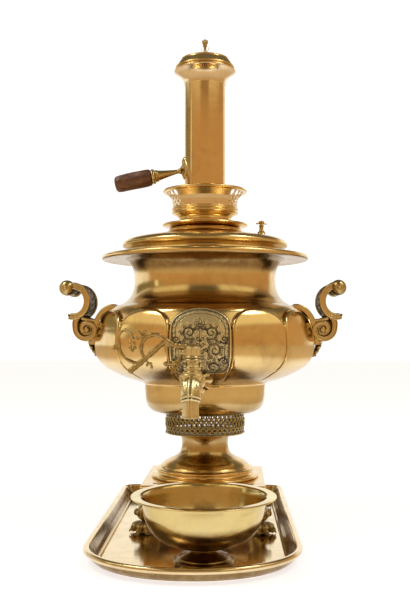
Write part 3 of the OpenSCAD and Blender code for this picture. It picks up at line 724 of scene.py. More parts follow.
# ---- lower cup ----------------------------------------------------------------------
cup = np.vstack([
    [[57.2, 150.5]],
    curve([[60.5, 150.6], [68.4, 152.0], [74.6, 154.8], [79.0, 159.2], [81.8, 165.2], [83.0, 172.0], [83.6, 182.0], [84.0, 190.6]], 6),
    [[84.8, 191.2], [85.8, 192.0], [86.0, 193.4], [84.4, 194.0], [82.0, 194.0]],
    curve([[81.8, 186], [81.4, 175], [80.0, 167.0], [76.4, 160.4], [70, 155.6], [60, 153.2]], 4),
    [[48.2, 152.5], [48.2, 150.7]]])
make("cup_spun", spin(cup, 192, 0.35), M_POL, "samovar_body", ["base_cup"])


# ---- body: twelve embossed pillows on a vase ----------------------------------------------
OUT = curve([[86, 193], [93.6, 194.9], [101, 197.2], [108, 199.6], [114.4, 202.0], [120.6, 204.9], [126.4, 208.2], [134.6, 213.4],
             [141, 219.0], [146, 225.2], [149.3, 232.0], [151, 239.4], [151.4, 247.6], [150.7, 257.0], [149, 266.0],
             [146.4, 275.0], [142.6, 283.2], [137.2, 290.2], [130.0, 295.2], [123.4, 298.2], [117.2, 300.2]], 12)
PUFF = 3.6
_n = np.gradient(OUT, axis=0)
_n /= np.linalg.norm(_n, axis=1)[:, None]
_s = np.concatenate([[0], np.cumsum(np.linalg.norm(np.diff(OUT, axis=0), axis=1))])


def lift(s, z):
    """How far the middle of a lobe stands in front of the ground, from the cup to the shoulder."""
    a_ = np.clip(s / 34.0, 0, 1)
    b_ = np.clip((z - 280.0) / 18.0, 0, 1)
    return PUFF * a_ * a_ * (3 - 2 * a_) * (1 - b_ * b_ * (3 - 2 * b_))


BEL = OUT - lift(_s, OUT[:, 1])[:, None] * np.stack([_n[:, 1], -_n[:, 0]], 1)
NECK = curve([[117.2, 300.2], [111.4, 303.6], [106.2, 308.2], [102.2, 314.4], [99.6, 321.8], [98.4, 330.0], [98.4, 338.4],
              [99.4, 346.2], [101.6, 353.0], [105.4, 358.6], [111.0, 362.8]], 8)
LOBES = 12
THP = PI / LOBES


def arc_len(p):
    return np.concatenate([[0], np.cumsum(np.linalg.norm(np.diff(p, axis=0), axis=1))])


def resample(p, step):
    s = arc_len(p)
    n = int(round(s[-1] / step))
    t = np.linspace(0, s[-1], n + 1)
    return np.stack([np.interp(t, s, p[:, 0]), np.interp(t, s, p[:, 1])], 1), t


BELR, SB = resample(BEL, 1.0)
NKR, SN = resample(NECK, 2.2)


def normals2(p):
    d = np.gradient(p, axis=0)
    d /= np.linalg.norm(d, axis=1)[:, None]
    return np.stack([d[:, 1], -d[:, 0]], 1)


i_top = int(np.argmin(np.abs(BELR[:, 1] - 265.0) + (BELR[:, 1] < 251) * 99))
i_apx = int(np.argmin(np.abs(BELR[:, 1] - 291.4) + (BELR[:, 1] < 251) * 99))
i_bot = int(np.argmin(np.abs(BELR[:, 1] - 225.0)))
S_TOP, S_BOT = SB[i_top], SB[i_bot]
H_TOP = 0.985 * THP * BELR[i_top, 0]
A_TOP = SB[i_apx] - S_TOP


def pillow(th, s):
    """Height of the embossed pillow at angle th from its middle line and arc length s."""
    R = np.interp(s, SB, BELR[:, 0])
    zz_ = np.interp(s, SB, BELR[:, 1])
    u = th * R
    H = 0.985 * THP * R
    up = np.clip((s - S_TOP) / A_TOP, 0, 9)
    x = np.where(s > S_TOP, np.hypot(u / H_TOP, up), np.abs(u) / H)
    x = np.clip(x, 0, 1)
    low = np.clip((S_BOT + 10 - s) / 50, 0, 1)
    low = low * low * (3 - 2 * low)
    p = 34.0 * (1 - low) + 14.0 * low
    q = 0.6 + 0.2 * low
    base = lift(s * _s[-1] / SB[-1], zz_)
    rise = base + 1.5 * np.clip((s - S_TOP) / A_TOP, 0, 1)
    flat = 0.5 * R * (1 / np.cos(th) - 1) * (1 - low) * (1 - np.clip((s - S_TOP) / A_TOP, 0, 1) ** 2)
    h = (rise + flat) * (1 - x ** p) ** q
    # the grooves get shallow below the middle and end above the cup
    k = np.clip((s - 8.0) / (S_BOT - 8.0), 0, 1)
    k = 0.62 * k
    k = np.where(s > S_BOT, 0.62, k)
    k = np.maximum(k, np.clip((s - S_TOP + 6.0) / 9.0, 0, 1))
    return h * k + (rise + flat) * (1 - k), x


def body_mesh():
    per = 64
    t = np.linspace(-1, 1, per + 1)[:-1]
    th1 = THP * (0.35 * t + 0.65 * np.sin(t * PI / 2))
    th = np.concatenate([th1 + i * 2 * THP for i in range(LOBES)])
    loc = np.concatenate([th1] * LOBES)
    nB = normals2(BELR)
    hh, _ = pillow(loc[None, :], SB[:, None])
    ang = th - PI / 2
    r = BELR[:, :1] + nB[:, :1] * hh
    z = BELR[:, 1:] + nB[:, 1:] * hh
    rows = [np.stack([r * np.cos(ang), r * np.sin(ang), z], -1)]
    n = len(th)
    for p in NKR[1:]:
        rows.append(np.stack([p[0] * np.cos(ang), p[0] * np.sin(ang), np.full(n, p[1])], -1)[None])
    # inside skin, two millimetres in, coarse
    for p in NKR[::-3][:-1]:
        rows.append(np.stack([(p[0] - 1.9) * np.cos(ang), (p[0] - 1.9) * np.sin(ang), np.full(n, p[1])], -1)[None])
    k = max(1, len(BELR) // 40)
    for i in range(len(BELR) - 3, 2, -k):
        h2 = hh[i] * 0.96 - 2.0
        q = BELR[i]
        nn = nB[i]
        rr = np.maximum(q[0] + nn[0] * h2, 82.6)
        zz = np.maximum(q[1] + nn[1] * h2, 195.2)
        rows.append(np.stack([rr * np.cos(ang), rr * np.sin(ang), zz * np.ones(n)], -1)[None])
    rows.append(np.stack([82.6 * np.cos(ang), 82.6 * np.sin(ang), np.full(n, 193.4)], -1)[None])
    V = np.vstack([a.reshape(-1, n, 3) for a in rows])
    m = len(V)
    return closed(V.reshape(-1, 3), grid(m, n, wrap_r=True))


body = make("body_embossed", body_mesh(), M_POL, "samovar_body", ["body_shell", "body_neck"] if "body_neck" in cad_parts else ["body_shell"],
            sharp=55, cavity_and_shade=(14, 0.9))

# ---- rim flange, lid, collar --------------------------------------------------------------
make("flange_turned", spin(np.vstack([
    [[99.2, 363.0], [120, 362.8], [134, 362.0], [137.6, 361.2]],
    [[139.8, 360.9], [142.4, 361.6], [143.4, 363.2], [143.4, 365.4], [142.6, 367.2], [140.6, 368.2], [138.2, 368.0], [136.8, 366.9]],
    [[134.0, 366.6], [118, 366.6], [99.2, 366.5]]]), 224, 0.5), M_POL, "samovar_body", ["rim_flange"])

lid_p = np.vstack([
    [[111.6, 366.7], [113.2, 367.4], [113.4, 368.8], [112.2, 370.0], [109.4, 370.8]],
    curve([[108.2, 372.2], [107.6, 374.6], [108.6, 377.0], [111.0, 378.8]], 4),
    [[113.4, 379.4], [114.8, 380.4]],
    curve([[115.3, 381.8], [114.4, 385.0], [110.7, 388.3], [104.2, 390.8], [96, 392.5], [85, 394.6], [70.7, 396.8], [58, 398.4], [47.2, 399.2]], 6),
    [[37, 399.4], [37, 397.0]],
    curve([[52, 396.4], [70, 394.4], [84, 392.0], [95, 389.8], [103, 387.9], [108.6, 385.4]], 3),
    [[111.2, 383.0], [111.6, 381.6], [107, 379.2], [105, 376], [104.6, 371], [105, 368.6], [94.2, 368.4], [92, 368.2],
     [92, 352.2], [94, 352.2], [94.2, 366.6]]])
lid_g = spin(lid_p, 224, 0.4)
_va = math.radians(-22)
lid_g.join(move(spin([[2.3, 391.0], [6.2, 391.0], [6.0, 395.0], [5.5, 396.0], [2.3, 396.0]], 48, 0.3), 84 * math.cos(_va), 84 * math.sin(_va), 0))
make("lid_turned", lid_g, M_POL, "lid_body", ["lid"])
col_p = np.vstack([[[37, 399.6], [45.4, 399.5]],
                   [[46.4 + 4.9 * math.cos(a), 403.3 + 3.6 * math.sin(a)] for a in np.linspace(-1.35, 1.45, 15)],
                   [[44.6, 406.9], [37, 406.9]]])
make("collar_turned", spin(col_p, 160, 0.3), M_POL, "lid_body", ["lid_collar"])

# steam vent: a turned cap with a cross bar, on its seat
va = math.radians(-22)
VX, VY = 84 * math.cos(va), 84 * math.sin(va)
g = move(spin(np.vstack([[[0, 396.2], [1.5, 396.2], [1.5, 405.2], [2.6, 405.5], [3.3, 406.0], [3.4, 406.8], [2.8, 407.4]],
                         curve([[2.3, 408.0], [2.1, 408.9], [2.6, 409.6]], 3),
                         [[3.6, 410.0], [4.1, 410.7], [4.0, 411.6], [3.2, 412.6], [1.8, 413.2], [0, 413.4]]]), 48, 0.25), VX, VY, 0)
d = np.array([math.cos(math.radians(20)), math.sin(math.radians(20)), 0])
c = np.array([VX, VY, 409.4])
g.join(tube(np.array([c - d * 6.6, c - d * 3, c + d * 3, c + d * 6.6]), [1.25, 0.9, 0.9, 1.25], 16, up=(0, 0, 1)))
make("vent_turned", g, M_CAST, "vent_body", ["vent_cap"], cavity_and_shade=(6, 0.4))


# ---- pierced bands ---------------------------------------------------------------------------
def pierced(R, t, z0, z1, n, hole, m=20, off=0.0, cone=0.0, plain_at=None):
    """Curved band of n cells, each with one hole; hole(k) gives its outline in mm about the
    cell's middle. cone widens the radius towards the top."""
    w = 2 * PI * R / n
    h = z1 - z0
    a = np.arange(m) * 2 * PI / m + PI / m
    c, s = np.cos(a), np.sin(a)
    k = 1 / np.maximum(np.abs(c) / (w / 2), np.abs(s) / (h / 2))
    outer = np.stack([k * c, k * s], 1)
    # snap the cell's corners
    for sx in (-1, 1):
        for sz in (-1, 1):
            j = int(np.argmin(np.hypot(outer[:, 0] - sx * w / 2, outer[:, 1] - sz * h / 2)))
            outer[j] = (sx * w / 2, sz * h / 2)
    inner = hole(m, a)
    bev = 0.35
    inn2 = inner * (1 + bev / np.maximum(np.hypot(inner[:, 0], inner[:, 1]), 1e-6))[:, None]
    g = Geo()
    jj = np.arange(m)
    j2 = (jj + 1) % m
    for i in range(n):
        a0 = (i + off) * 2 * PI / n

        def P(q, dr):
            zz = z0 + h / 2 + q[:, 1]
            rr = R + dr + cone * (zz - z0) / h
            th = a0 + q[:, 0] / R
            return np.stack([rr * np.cos(th), rr * np.sin(th), zz], 1)
        if plain_at is not None and abs(math.sin(a0)) > plain_at:
            for sg_, dr_ in ((1, 0.0), (-1, -t)):
                cen = P(np.zeros((1, 2)), dr_)
                Vp = np.vstack([P(outer, dr_), P(outer * 0.5, dr_), cen])
                Qp = np.stack([jj, j2, m + j2, m + jj], 1)
                Tp = np.stack([m + jj, m + j2, np.full(m, 2 * m)], 1)
                g.add(Vp, Qp[:, ::sg_], Tp[:, ::sg_])
            continue
        V = np.vstack([P(outer, 0), P(inn2, 0), P(inner, -bev), P(inner, -t + bev), P(inn2, -t), P(outer, -t)])
        Q = []
        for r_ in range(5):
            Q.append(np.stack([r_ * m + jj, r_ * m + j2, (r_ + 1) * m + j2, (r_ + 1) * m + jj], 1))
        g.add(V, np.vstack(Q))
    return g


def ellipse(rx, rz, p=2.0):
    def f(m, a):
        c, s = np.cos(a), np.sin(a)
        k = (np.abs(c / rx) ** p + np.abs(s / rz) ** p) ** (-1 / p)
        return np.stack([k * c, k * s], 1)
    return f


def leafhole(rx, rz, up=1):
    """Pointed leaf opening, wide at one end."""
    def f(m, a):
        s = np.sin(a) * up
        c = np.cos(a)
        k = (np.abs(c / rx) ** 1.5 + np.abs(s / rz) ** 1.5) ** (-1 / 1.5)
        x, y = k * c, k * s
        x = x * (1 - 0.35 * y / rz)
        return np.stack([x, y * up], 1)
    return f


NG = 46
g = Geo()
g.join(pierced(54.6, 1.9, 146.0, 150.2, NG, ellipse(2.35, 1.6)))
g.join(pierced(54.6, 1.9, 142.6, 146.0, NG, ellipse(1.9, 1.25), off=0.5))
g.join(pierced(54.6, 1.9, 131.6, 142.6, NG, ellipse(2.65, 4.8, 1.7)))
g.join(pierced(54.6, 1.9, 128.0, 131.6, NG, ellipse(1.9, 1.35), off=0.5))
g.join(pierced(54.6, 1.9, 123.6, 128.0, NG, ellipse(2.2, 1.75)))
gal = make("gallery_pierced", g, M_GAL, "samovar_body", [], sharp=50)
weld(gal, 2e-5)
gal.data.set_sharp_from_angle(angle=math.radians(50))
g = spin([[52.6, 150.4], [55.0, 150.0], [55.8, 150.6], [55.8, 151.8], [55.0, 152.4], [52.6, 152.4]], 128, 0.35)
g.join(spin([[30.8, 122], [54.8, 122], [55.8, 122.6], [55.8, 123.8], [55.0, 124.4], [52.4, 124.4], [52.0, 123.6], [30.8, 123.6]], 128, 0.35))
# raised interlaced arches between the tall holes
for i in range(NG):
    for sgn in (-1, 1):
        a0 = (i + 0.5) * 2 * PI / NG
        th = np.linspace(0, 1, 9)
        ang = a0 + sgn * (2 * PI / NG) * 0.5 * np.sin(PI * th) * 0.92
        zz = 131.8 + 10.6 * th
        P = np.stack([55.0 * np.cos(ang), 55.0 * np.sin(ang), zz], 1)
        g.join(tube(P, 0.55, 6, up=(0, 0, 1), dome=False))
make("gallery_bands", g, M_GAL, "samovar_body", ["air_gallery"], cavity_and_shade=(4, 0.5))

# crown: plate, moulded foot, pierced wall and rolled lip
make("crown_plate_turned", spin(np.vstack([
    [[30.2, 407.1], [46, 407.1], [50, 407.6]], curve([[52.0, 408.2], [55.4, 408.8], [58.0, 409.2]], 3),
    [[59.4, 409.8], [59.9, 411.0], [59.2, 412.2], [57.6, 412.5], [53, 412.3], [47.6, 412.4], [45.8, 413.6], [42, 413.9], [30.2, 413.9]]]),
    160, 0.35), M_POL, "crown_body", ["crown_plate"])
cr = np.vstack([
    [[29.2, 414.1], [37.6, 414.1], [38.8, 414.8], [38.8, 416.2], [37.4, 417.0]],
    curve([[36.8, 418.2], [36.6, 420.0], [37.6, 422.0], [40.2, 424.2], [43.0, 425.8]], 5),
    [[45.2, 426.4], [46.4, 427.6], [46.2, 429.2], [45.2, 430.0], [45.6, 431.0], [46.4, 432.0], [46.2, 433.4], [45.4, 434.2], [43.6, 434.2]],
    [[43.4, 430.2], [41, 427.6], [35.2, 425.2], [33.4, 422.0], [33.2, 418.2], [29.2, 418.0]]])
g = spin(cr, 160, 0.3)
lip = np.vstack([
    [[52.6, 456.4], [54.2, 455.7], [56.4, 455.9]],
    [[58.2, 456.6], [58.9, 457.8], [58.6, 459.2], [57.4, 460.1], [55.6, 459.9], [53.4, 458.6]]])
g.join(spin(lip, 160, 0.4))
g.join(spin([[43.8, 433.6], [46.0, 433.6], [46.3, 434.4], [46.0, 435.2], [43.8, 435.2]], 160, 0.3))
make("crown_mouldings", g, M_POL, "crown_body", [], cavity_and_shade=(5, 0.6))
g = Geo()
NC = 32
g.join(pierced(45.2, 1.5, 435.0, 439.6, NC, leafhole(1.1, 1.0, 1), m=20, cone=0.1, plain_at=0.66))
g.join(pierced(45.3, 1.5, 439.6, 443.6, NC, ellipse(1.2, 0.95), m=20, off=0.5, cone=0.4, plain_at=0.66))
g.join(pierced(45.7, 1.5, 443.6, 448.4, NC, leafhole(1.7, 1.5, -1), m=24, cone=1.2, plain_at=0.66))
g.join(pierced(46.9, 1.5, 448.4, 457.2, NC, leafhole(3.1, 3.9, -1), m=28, off=0.5, cone=7.2, plain_at=0.66))
crw = make("crown_pierced", g, M_PALE, "crown_body", ["crown_ring"], sharp=50)
weld(crw, 2e-5)
crw.data.set_sharp_from_angle(angle=math.radians(50))

# ---- chimney: pipe, bell, cap --------------------------------------------------------------------
make("pipe_sheet", spin([[27.0, 418.2], [28.5, 418.2], [28.5, 500], [28.5, 612], [27.0, 612], [27.0, 500]], 192, 0.3),
     M_PIPE, "chimney_body", ["chimney_pipe"])
bell = np.vstack([
    [[28.52, 606.2], [28.8, 606.4]],
    curve([[28.9, 607.2], [29.2, 609.2], [30.1, 612.2], [31.7, 615.4], [34.2, 618.8], [37.2, 621.6], [40.2, 623.8]], 7),
    [[41.8, 624.8], [42.8, 625.6], [43.0, 626.6], [42.4, 627.5], [41.2, 627.7]],
    curve([[39.8, 627.0], [36.4, 624.4], [33.4, 621.4], [31.0, 617.2], [29.8, 612.6]], 4),
    [[28.52, 612.2]]])
make("bell_spun", spin(bell, 176, 0.3), M_PALE, "chimney_body", ["chimney_bell"])
cap = np.vstack([
    [[24.9, 606.2], [26.5, 606.2], [26.5, 614.0], [29.4, 616.8], [30.2, 619.0]],
    curve([[32.2, 621.9], [35.4, 624.8], [38.4, 627.4], [39.6, 629.4]], 4),
    [[40.6, 630.1], [41.4, 630.8], [41.2, 631.8], [40.2, 632.6]],
    curve([[39.4, 633.6], [37.6, 636.2], [35.6, 638.8], [34.2, 640.4]], 4),
    [[33.8, 641.2], [34.0, 642.2], [33.2, 643.0]],
    curve([[31.6, 643.3], [26, 644.4], [17, 646.2], [8, 648.0], [4, 648.8]], 5),
    [[0, 649.2], [0, 647.0]],
    curve([[8, 646.0], [18, 643.8], [30.6, 640.8]], 3),
    [[37.0, 633.2], [37.8, 630.6], [34.4, 626.6], [30.4, 622.8], [27.4, 618.6], [24.9, 614.4]]])
g = spin(cap, 176, 0.3)
make("cap_spun", g, M_POL, "cap_body", ["chimney_cap"])


# finial: a bud of leaves on a thin stem, with two small side leaves
def finial():
    g = spin(np.vstack([[[0, 646.4], [1.45, 646.4], [1.45, 648.6], [4.0, 648.9], [4.8, 649.5], [4.6, 650.6], [3.2, 651.6]],
                        curve([[2.5, 653.0], [2.0, 655.6], [1.9, 658.4], [2.0, 661.0]], 4),
                        [[3.0, 661.6], [3.2, 662.4], [2.4, 663.0]],
                        curve([[2.3, 664.0], [3.2, 666.2], [3.3, 668.0], [2.2, 670.2], [0.9, 671.6]], 4), [[0, 671.9]]]), 48, 0.25)
    for k in range(3):
        a = math.radians(90 + 120 * k)
        P = np.array([[math.cos(a) * q, math.sin(a) * q, z] for q, z in
                      ((1.2, 662.0), (2.6, 664.0), (3.7, 666.6), (4.1, 669.0), (3.2, 671.0))])
        g.join(leaf(curve(P, 3), 1.7, 0.9, (-math.sin(a), math.cos(a), 0), 3, 0.1, 14))
    for sg, hh_ in ((1, 0.0), (-1, -1.2)):
        P = np.array([[sg * q, 0, z + hh_] for q, z in ((1.4, 653.2), (3.0, 654.6), (4.6, 657.2), (5.6, 660.2), (5.2, 662.0))])
        g.join(leaf(curve(P, 3), 1.5, 0.9, (0, 1, 0), 3, 0.1, 14))
    return g


make("finial_cast", finial(), M_CAST, "cap_body", ["cap_finial"], cavity_and_shade=(5, 0.4))

# ---- chimney grip ------------------------------------------------------------------------------------
GA = math.radians(11.6)


def on_grip(g):
    """Stands a piece on the side of the pipe with its +Z along the grip."""
    return move(g, -28.5, 0, 489, ry=-PI / 2 - GA)


def rosette():
    """Five-petalled boss pressed on the pipe, curved to it."""
    nr, nt_ = 26, 120
    r = np.linspace(0, 17, nr)
    a = np.arange(nt_) * 2 * PI / nt_
    rows = []
    for ri in r:
        pet = 0.5 + 0.5 * np.cos(6 * a)
        rim = 15.2 + 1.8 * pet
        rr = np.full(nt_, ri) * rim / 17
        x = ri / 17
        h = 2.0 + 2.6 * (1 - x) + 1.5 * pet * math.sin(PI * min(1, max(0, (x - 0.30) / 0.66))) - 0.5 * (1 - pet)
        h = h + 2.0 * math.exp(-((x - 0.0) / 0.26) ** 2) - 0.9 * math.exp(-((x - 0.34) / 0.05) ** 2)
        h = h * np.ones(nt_)
        if ri >= 16.6:
            h = h * 0 + 0.6
        yy, zz = rr * np.cos(a), rr * np.sin(a)
        sag = 28.5 - np.sqrt(28.5 ** 2 - np.minimum(yy, 28) ** 2)
        rows.append(np.stack([-(28.4 + h) + sag, yy, zz + 491], 1))
    V = np.vstack(rows)
    back = rows[-1].copy()
    yy = back[:, 1]
    back[:, 0] = -np.sqrt(28.3 ** 2 - yy ** 2)
    V = np.vstack([V, back, [[-28.2, 0, 491]]])
    Q = grid(nr + 1, nt_)
    j = np.arange(nt_)
    T = np.stack([np.full(nt_, len(V) - 1), nr * nt_ + (j + 1) % nt_, nr * nt_ + j], 1)
    return closed(V, Q, T)


ro = make("rosette_cast", rosette(), M_CAST, "chimney_body", ["pipe_rosette"], cavity_and_shade=(8, 0.5))
weld(ro)
sock = np.vstack([[[2.05, 4.0], [3.9, 4.2], [4.6, 5.6], [4.2, 7.0]], curve([[3.2, 8.6], [2.9, 11.0], [3.4, 15.0], [4.4, 22.0],
                                                                             [5.8, 30.0], [7.2, 37.0]], 5),
                  [[7.8, 38.4], [8.6, 39.2], [8.6, 40.8], [8.0, 41.8], [2.05, 41.8]]])
make("socket_turned", on_grip(spin(sock, 64, 0.3)), M_CAST, "chimney_body", ["grip_socket"])
make("ferrule_turned", on_grip(spin([[2.05, 42.0], [8.6, 42.0], [9.9, 42.6], [10.6, 43.4], [10.7, 44.8], [10.6, 46.2], [9.9, 47.0],
                                     [8.8, 47.3], [2.05, 47.3]], 64, 0.4)), M_TAP, "chimney_body", ["grip_ferrule"])


def wood():
    """Faceted, worn hardwood grip."""
    prof = np.vstack([curve([[9.2, 47.5], [11.3, 48.8], [12.1, 52.0], [12.5, 60.0], [12.5, 72.0], [12.3, 84.0], [12.0, 92.0]], 6),
                      curve([[11.4, 96.0], [9.2, 98.6], [5.4, 99.8], [0.5, 100.1]], 5)])
    n = 72
    a = np.arange(n) * 2 * PI / n
    rows = []
    for i, (r, z) in enumerate(prof):
        f = 8
        fac = np.cos(PI / f) / np.cos(((a + 0.2 + PI / f) % (2 * PI / f)) - PI / f)
        k = 0.55
        wob = 1 + 0.012 * np.sin(3 * a + z * 0.11) + 0.010 * np.sin(5 * a - z * 0.23 + 1.0) + 0.008 * np.sin(11 * a + z * 0.5)
        rr = r * (1 - k + k * fac / np.cos(PI / f / 2)) * wob
        rr = np.minimum(rr, 12.9)
        rows.append(np.stack([rr * np.cos(a), rr * np.sin(a), np.full(n, z)], 1))
    V = np.vstack(rows + [[[0, 0, 100.2]], [[0, 0, 47.5]]])
    m = len(prof)
    j = np.arange(n)
    j2 = (j + 1) % n
    T = np.vstack([np.stack([(m - 1) * n + j, (m - 1) * n + j2, np.full(n, m * n)], 1),
                   np.stack([j2, j, np.full(n, m * n + 1)], 1)])
    return on_grip(closed(V, grid(m, n), T))


make("grip_turned", wood(), M_WOOD, "chimney_body", ["wooden_grip"], sharp=50, cavity_and_shade=(6, 0.5))

# ---- handles: cast scroll straps with a rolled bar, an eye and a leaf on the body ----------------
def strap(P, W, t_mid, t_edge, n=64, vein=0.0, pitch=8.0, square=4.0, side_ridge=0.0):
    """Wide cast strap along a path in the XZ plane: thick rolled edges, thinner veined middle."""
    P = np.asarray(P, float)
    P3 = np.stack([P[:, 0], np.zeros(len(P)), P[:, 1]], 1)
    s = arc_len(P)
    m = len(P)
    W = np.broadcast_to(np.asarray(W, float), (m,))
    t_mid = np.broadcast_to(np.asarray(t_mid, float), (m,))
    t_edge = np.broadcast_to(np.asarray(t_edge, float), (m,))
    ph = (np.arange(n) + 0.5) * 2 * PI / n
    secs = []
    for i in range(m):
        y = W[i] * np.sign(np.cos(ph)) * np.abs(np.cos(ph)) ** 0.62
        ay = np.abs(y)
        te = t_edge[i]
        d = np.clip((ay - (W[i] - te)) / te, -1, 1)
        bead = te * np.maximum(0, 1 - np.abs(d) ** square) ** (1 / square)
        bead[ay < W[i] - 2 * te] = 0
        inner = np.clip((W[i] - te - ay) / te, 0, 1)
        rib = 0.9 * np.exp(-(y / 2.4) ** 2) + 0.5 * np.exp(-((ay - W[i] * 0.45) / 1.5) ** 2)
        v = vein * np.cos(2 * PI * (s[i] / pitch - ay / 7.5)) * inner
        mid = t_mid[i] * (1 + 0.0 * y) + (rib * min(1, t_mid[i] / 2) + v) * inner
        h = np.maximum(np.where(ay > W[i] - te, 0, mid), bead)
        h = np.where(ay > W[i] - te, bead, h)
        secs.append(np.stack([y, np.where(np.sin(ph) > 0, h, -h)], 1))
    return loft(P3, secs, (0, 1, 0))


def rail(P, off, y, r):
    """Thin raised line along a strap, at distance off from its middle line and side y."""
    P = np.asarray(P, float)
    d = np.gradient(P, axis=0)
    d /= np.linalg.norm(d, axis=1)[:, None]
    nn = np.stack([d[:, 1], -d[:, 0]], 1)
    q = P + nn * np.asarray(off, float).reshape(-1, 1)
    return tube(np.stack([q[:, 0], np.full(len(q), float(y)), q[:, 1]], 1), r, 8, up=(0, 1, 0))


def spiral(cx, cz, r0, r1, a0, a1, n):
    t = np.linspace(0, 1, n)
    a = np.radians(a0 + (a1 - a0) * t)
    r = r0 + (r1 - r0) * t ** 0.9
    return np.stack([cx + r * np.cos(a), cz + r * np.sin(a)], 1)


def handle(bx=182.6):
    g = Geo()
    W = 31.0
    # upper scroll, from the rolled bar round to the leaf tip
    up = np.vstack([spiral(183.0, 304.6, 20.6, 21.4, 74, 268, 46),
                    curve([[184.4, 283.4], [187.6, 283.4], [190.4, 284.8]], 5)[1:]])
    up[:, 0] = 179.6 + (up[:, 0] - 183.0) * 0.90
    t = np.linspace(0, 1, len(up))
    wid = W + 1.4 * np.sin(PI * t) - 7.0 * np.clip((t - 0.88) / 0.12, 0, 1) ** 2
    te = 4.7 - 0.7 * np.clip((t - 0.8) / 0.2, 0, 1)
    g.join(strap(up, wid, 2.9 - 0.9 * t, te, vein=0.55))
    for sy in (-1, 1):
        for off in (-3.3, 0.0, 3.3):
            k = slice(2, len(up) - 4)
            g.join(rail(up[k], np.full(len(up[k]), off), sy * (W + 0.9), 0.85 if off else 0.6))
    # serrated end of the leaf
    for y in np.linspace(-20, 20, 5):
        P = np.array([[179.5, y, 282.2], [183.4, y * 1.06, 282.4], [187.0, y * 1.12, 284.4], [188.4, y * 1.14, 286.8]])
        g.join(leaf(curve(P, 4), 5.0, 2.2, (0, 1, 0), 2, 0.12, 16))
    # rolled bar with ball ends
    bar = np.vstack([[[0, -37.2]], [[10.7 * math.cos(a), -26.4 + 10.7 * math.sin(a)] for a in np.linspace(-1.45, 0.95, 12)],
                     [[4.9, -18.6], [6.2, -17.4], [7.4, -16.2], [7.6, -12], [7.0, -6], [6.8, 0], [7.0, 6], [7.6, 12], [7.4, 16.2],
                      [6.2, 17.4], [4.9, 18.6]],
                     [[10.7 * math.cos(a), 26.4 + 10.7 * math.sin(a)] for a in np.linspace(-0.95, 1.45, 12)], [[0, 37.2]]])
    g.join(move(spin(bar, 56, 0.3), bx, 0, 322.8, rx=PI / 2))
    for sy in (-1, 1):
        g.join(ball(bx, sy * 36.8, 322.8, 2.4, 16))
    # lower scroll round its eye
    lo = np.vstack([curve([[171.6, 285.0], [175.0, 281.0], [177.2, 274.6], [177.0, 267.2]], 6)[:-1],
                    spiral(161.0, 266.2, 16.0, 5.4, 4, -400, 66)])
    t = np.linspace(0, 1, len(lo))
    te = 4.5 - 2.3 * t
    g.join(strap(lo, W - 0.6 + 2.2 * t, np.maximum(2.4 - 1.2 * t, 1.0), te, vein=0.45, pitch=7.0))
    for sy in (-1, 1):
        k = slice(0, 52)
        g.join(rail(lo[k], 3.1 - 1.6 * t[k], sy * (W + 0.6), 0.75))
        g.join(rail(lo[k], -3.1 + 1.6 * t[k], sy * (W + 0.6), 0.75))
    eye = [[0, -34.2], [2.4, -33.8], [3.6, -32.4], [3.9, -30.5], [3.6, -28.6], [3.6, 28.6], [3.9, 30.5], [3.6, 32.4], [2.4, 33.8], [0, 34.2]]
    g.join(move(spin(eye, 36, 0.4), 160.9, 0, 265.6, rx=PI / 2))
    # web that closes the eye, set back from the side faces
    web = [[0, -25.6], [9.4, -25.6], [12.6, -24.6], [13.2, -23.0], [13.2, 23.0], [12.6, 24.6], [9.4, 25.6], [0, 25.6]]
    g.join(move(spin(web, 48, 0.5), 162.6, 0, 267.2, rx=PI / 2))
    # stem between the two scrolls and the ledge that meets the body
    st = curve([[166.0, 284.6], [166.8, 290.0], [164.6, 297.0], [162.9, 304.0]], 6)
    g.join(strap(st, 15.0, 2.0, 2.3, n=40, vein=0.3))
    led = curve([[144.6, 276.0], [149.6, 277.6], [155.6, 278.2], [162.0, 279.2], [168.4, 281.4]], 6)
    g.join(strap(led, W - 2.0, 1.9, 2.3, n=48, vein=0.25, pitch=6))
    # pad on the lobe behind the scroll
    pad = curve([[121.6, 296.6], [128.6, 296.4], [136.4, 292.8], [142.8, 286.2], [147.6, 277.6], [150.9, 267.0], [152.8, 256.0], [153.4, 245.0]], 6)
    g.join(strap(pad, W - 2.0, 3.2, 4.0, n=56, vein=0.3, pitch=7))
    # leaf that runs down the lobe
    lf = curve([[157.6, 257.0], [158.9, 250.6], [158.0, 244.0], [155.6, 237.8], [152.6, 232.2], [149.4, 227.6]], 6)
    t = np.linspace(0, 1, len(lf))
    w = 22.0 * (1 - t ** 2.2) * (1 + 0.10 * np.cos(2 * PI * 4 * t)) + 2.0
    g.join(strap(lf, w, 2.6 - 1.4 * t, 2.6 - 1.4 * t, n=56, vein=0.7, pitch=6.5, square=2.2))
    for k in range(5):
        q = lf[int((0.12 + 0.17 * k) * (len(lf) - 1))]
        ww = 21.0 * (1 - (0.12 + 0.17 * k) ** 2.2)
        for sy in (-1, 1):
            P = np.array([[q[0] - 1.2, sy * ww * 0.35, q[1] + 3.4], [q[0] + 0.8, sy * ww * 0.8, q[1] + 0.4], [q[0] - 1.0, sy * (ww + 3.4), q[1] - 3.6]])
            g.join(leaf(curve(P, 5), 3.6, 2.0, (0, 0.3, 1), 2, 0.15, 14))
    return g


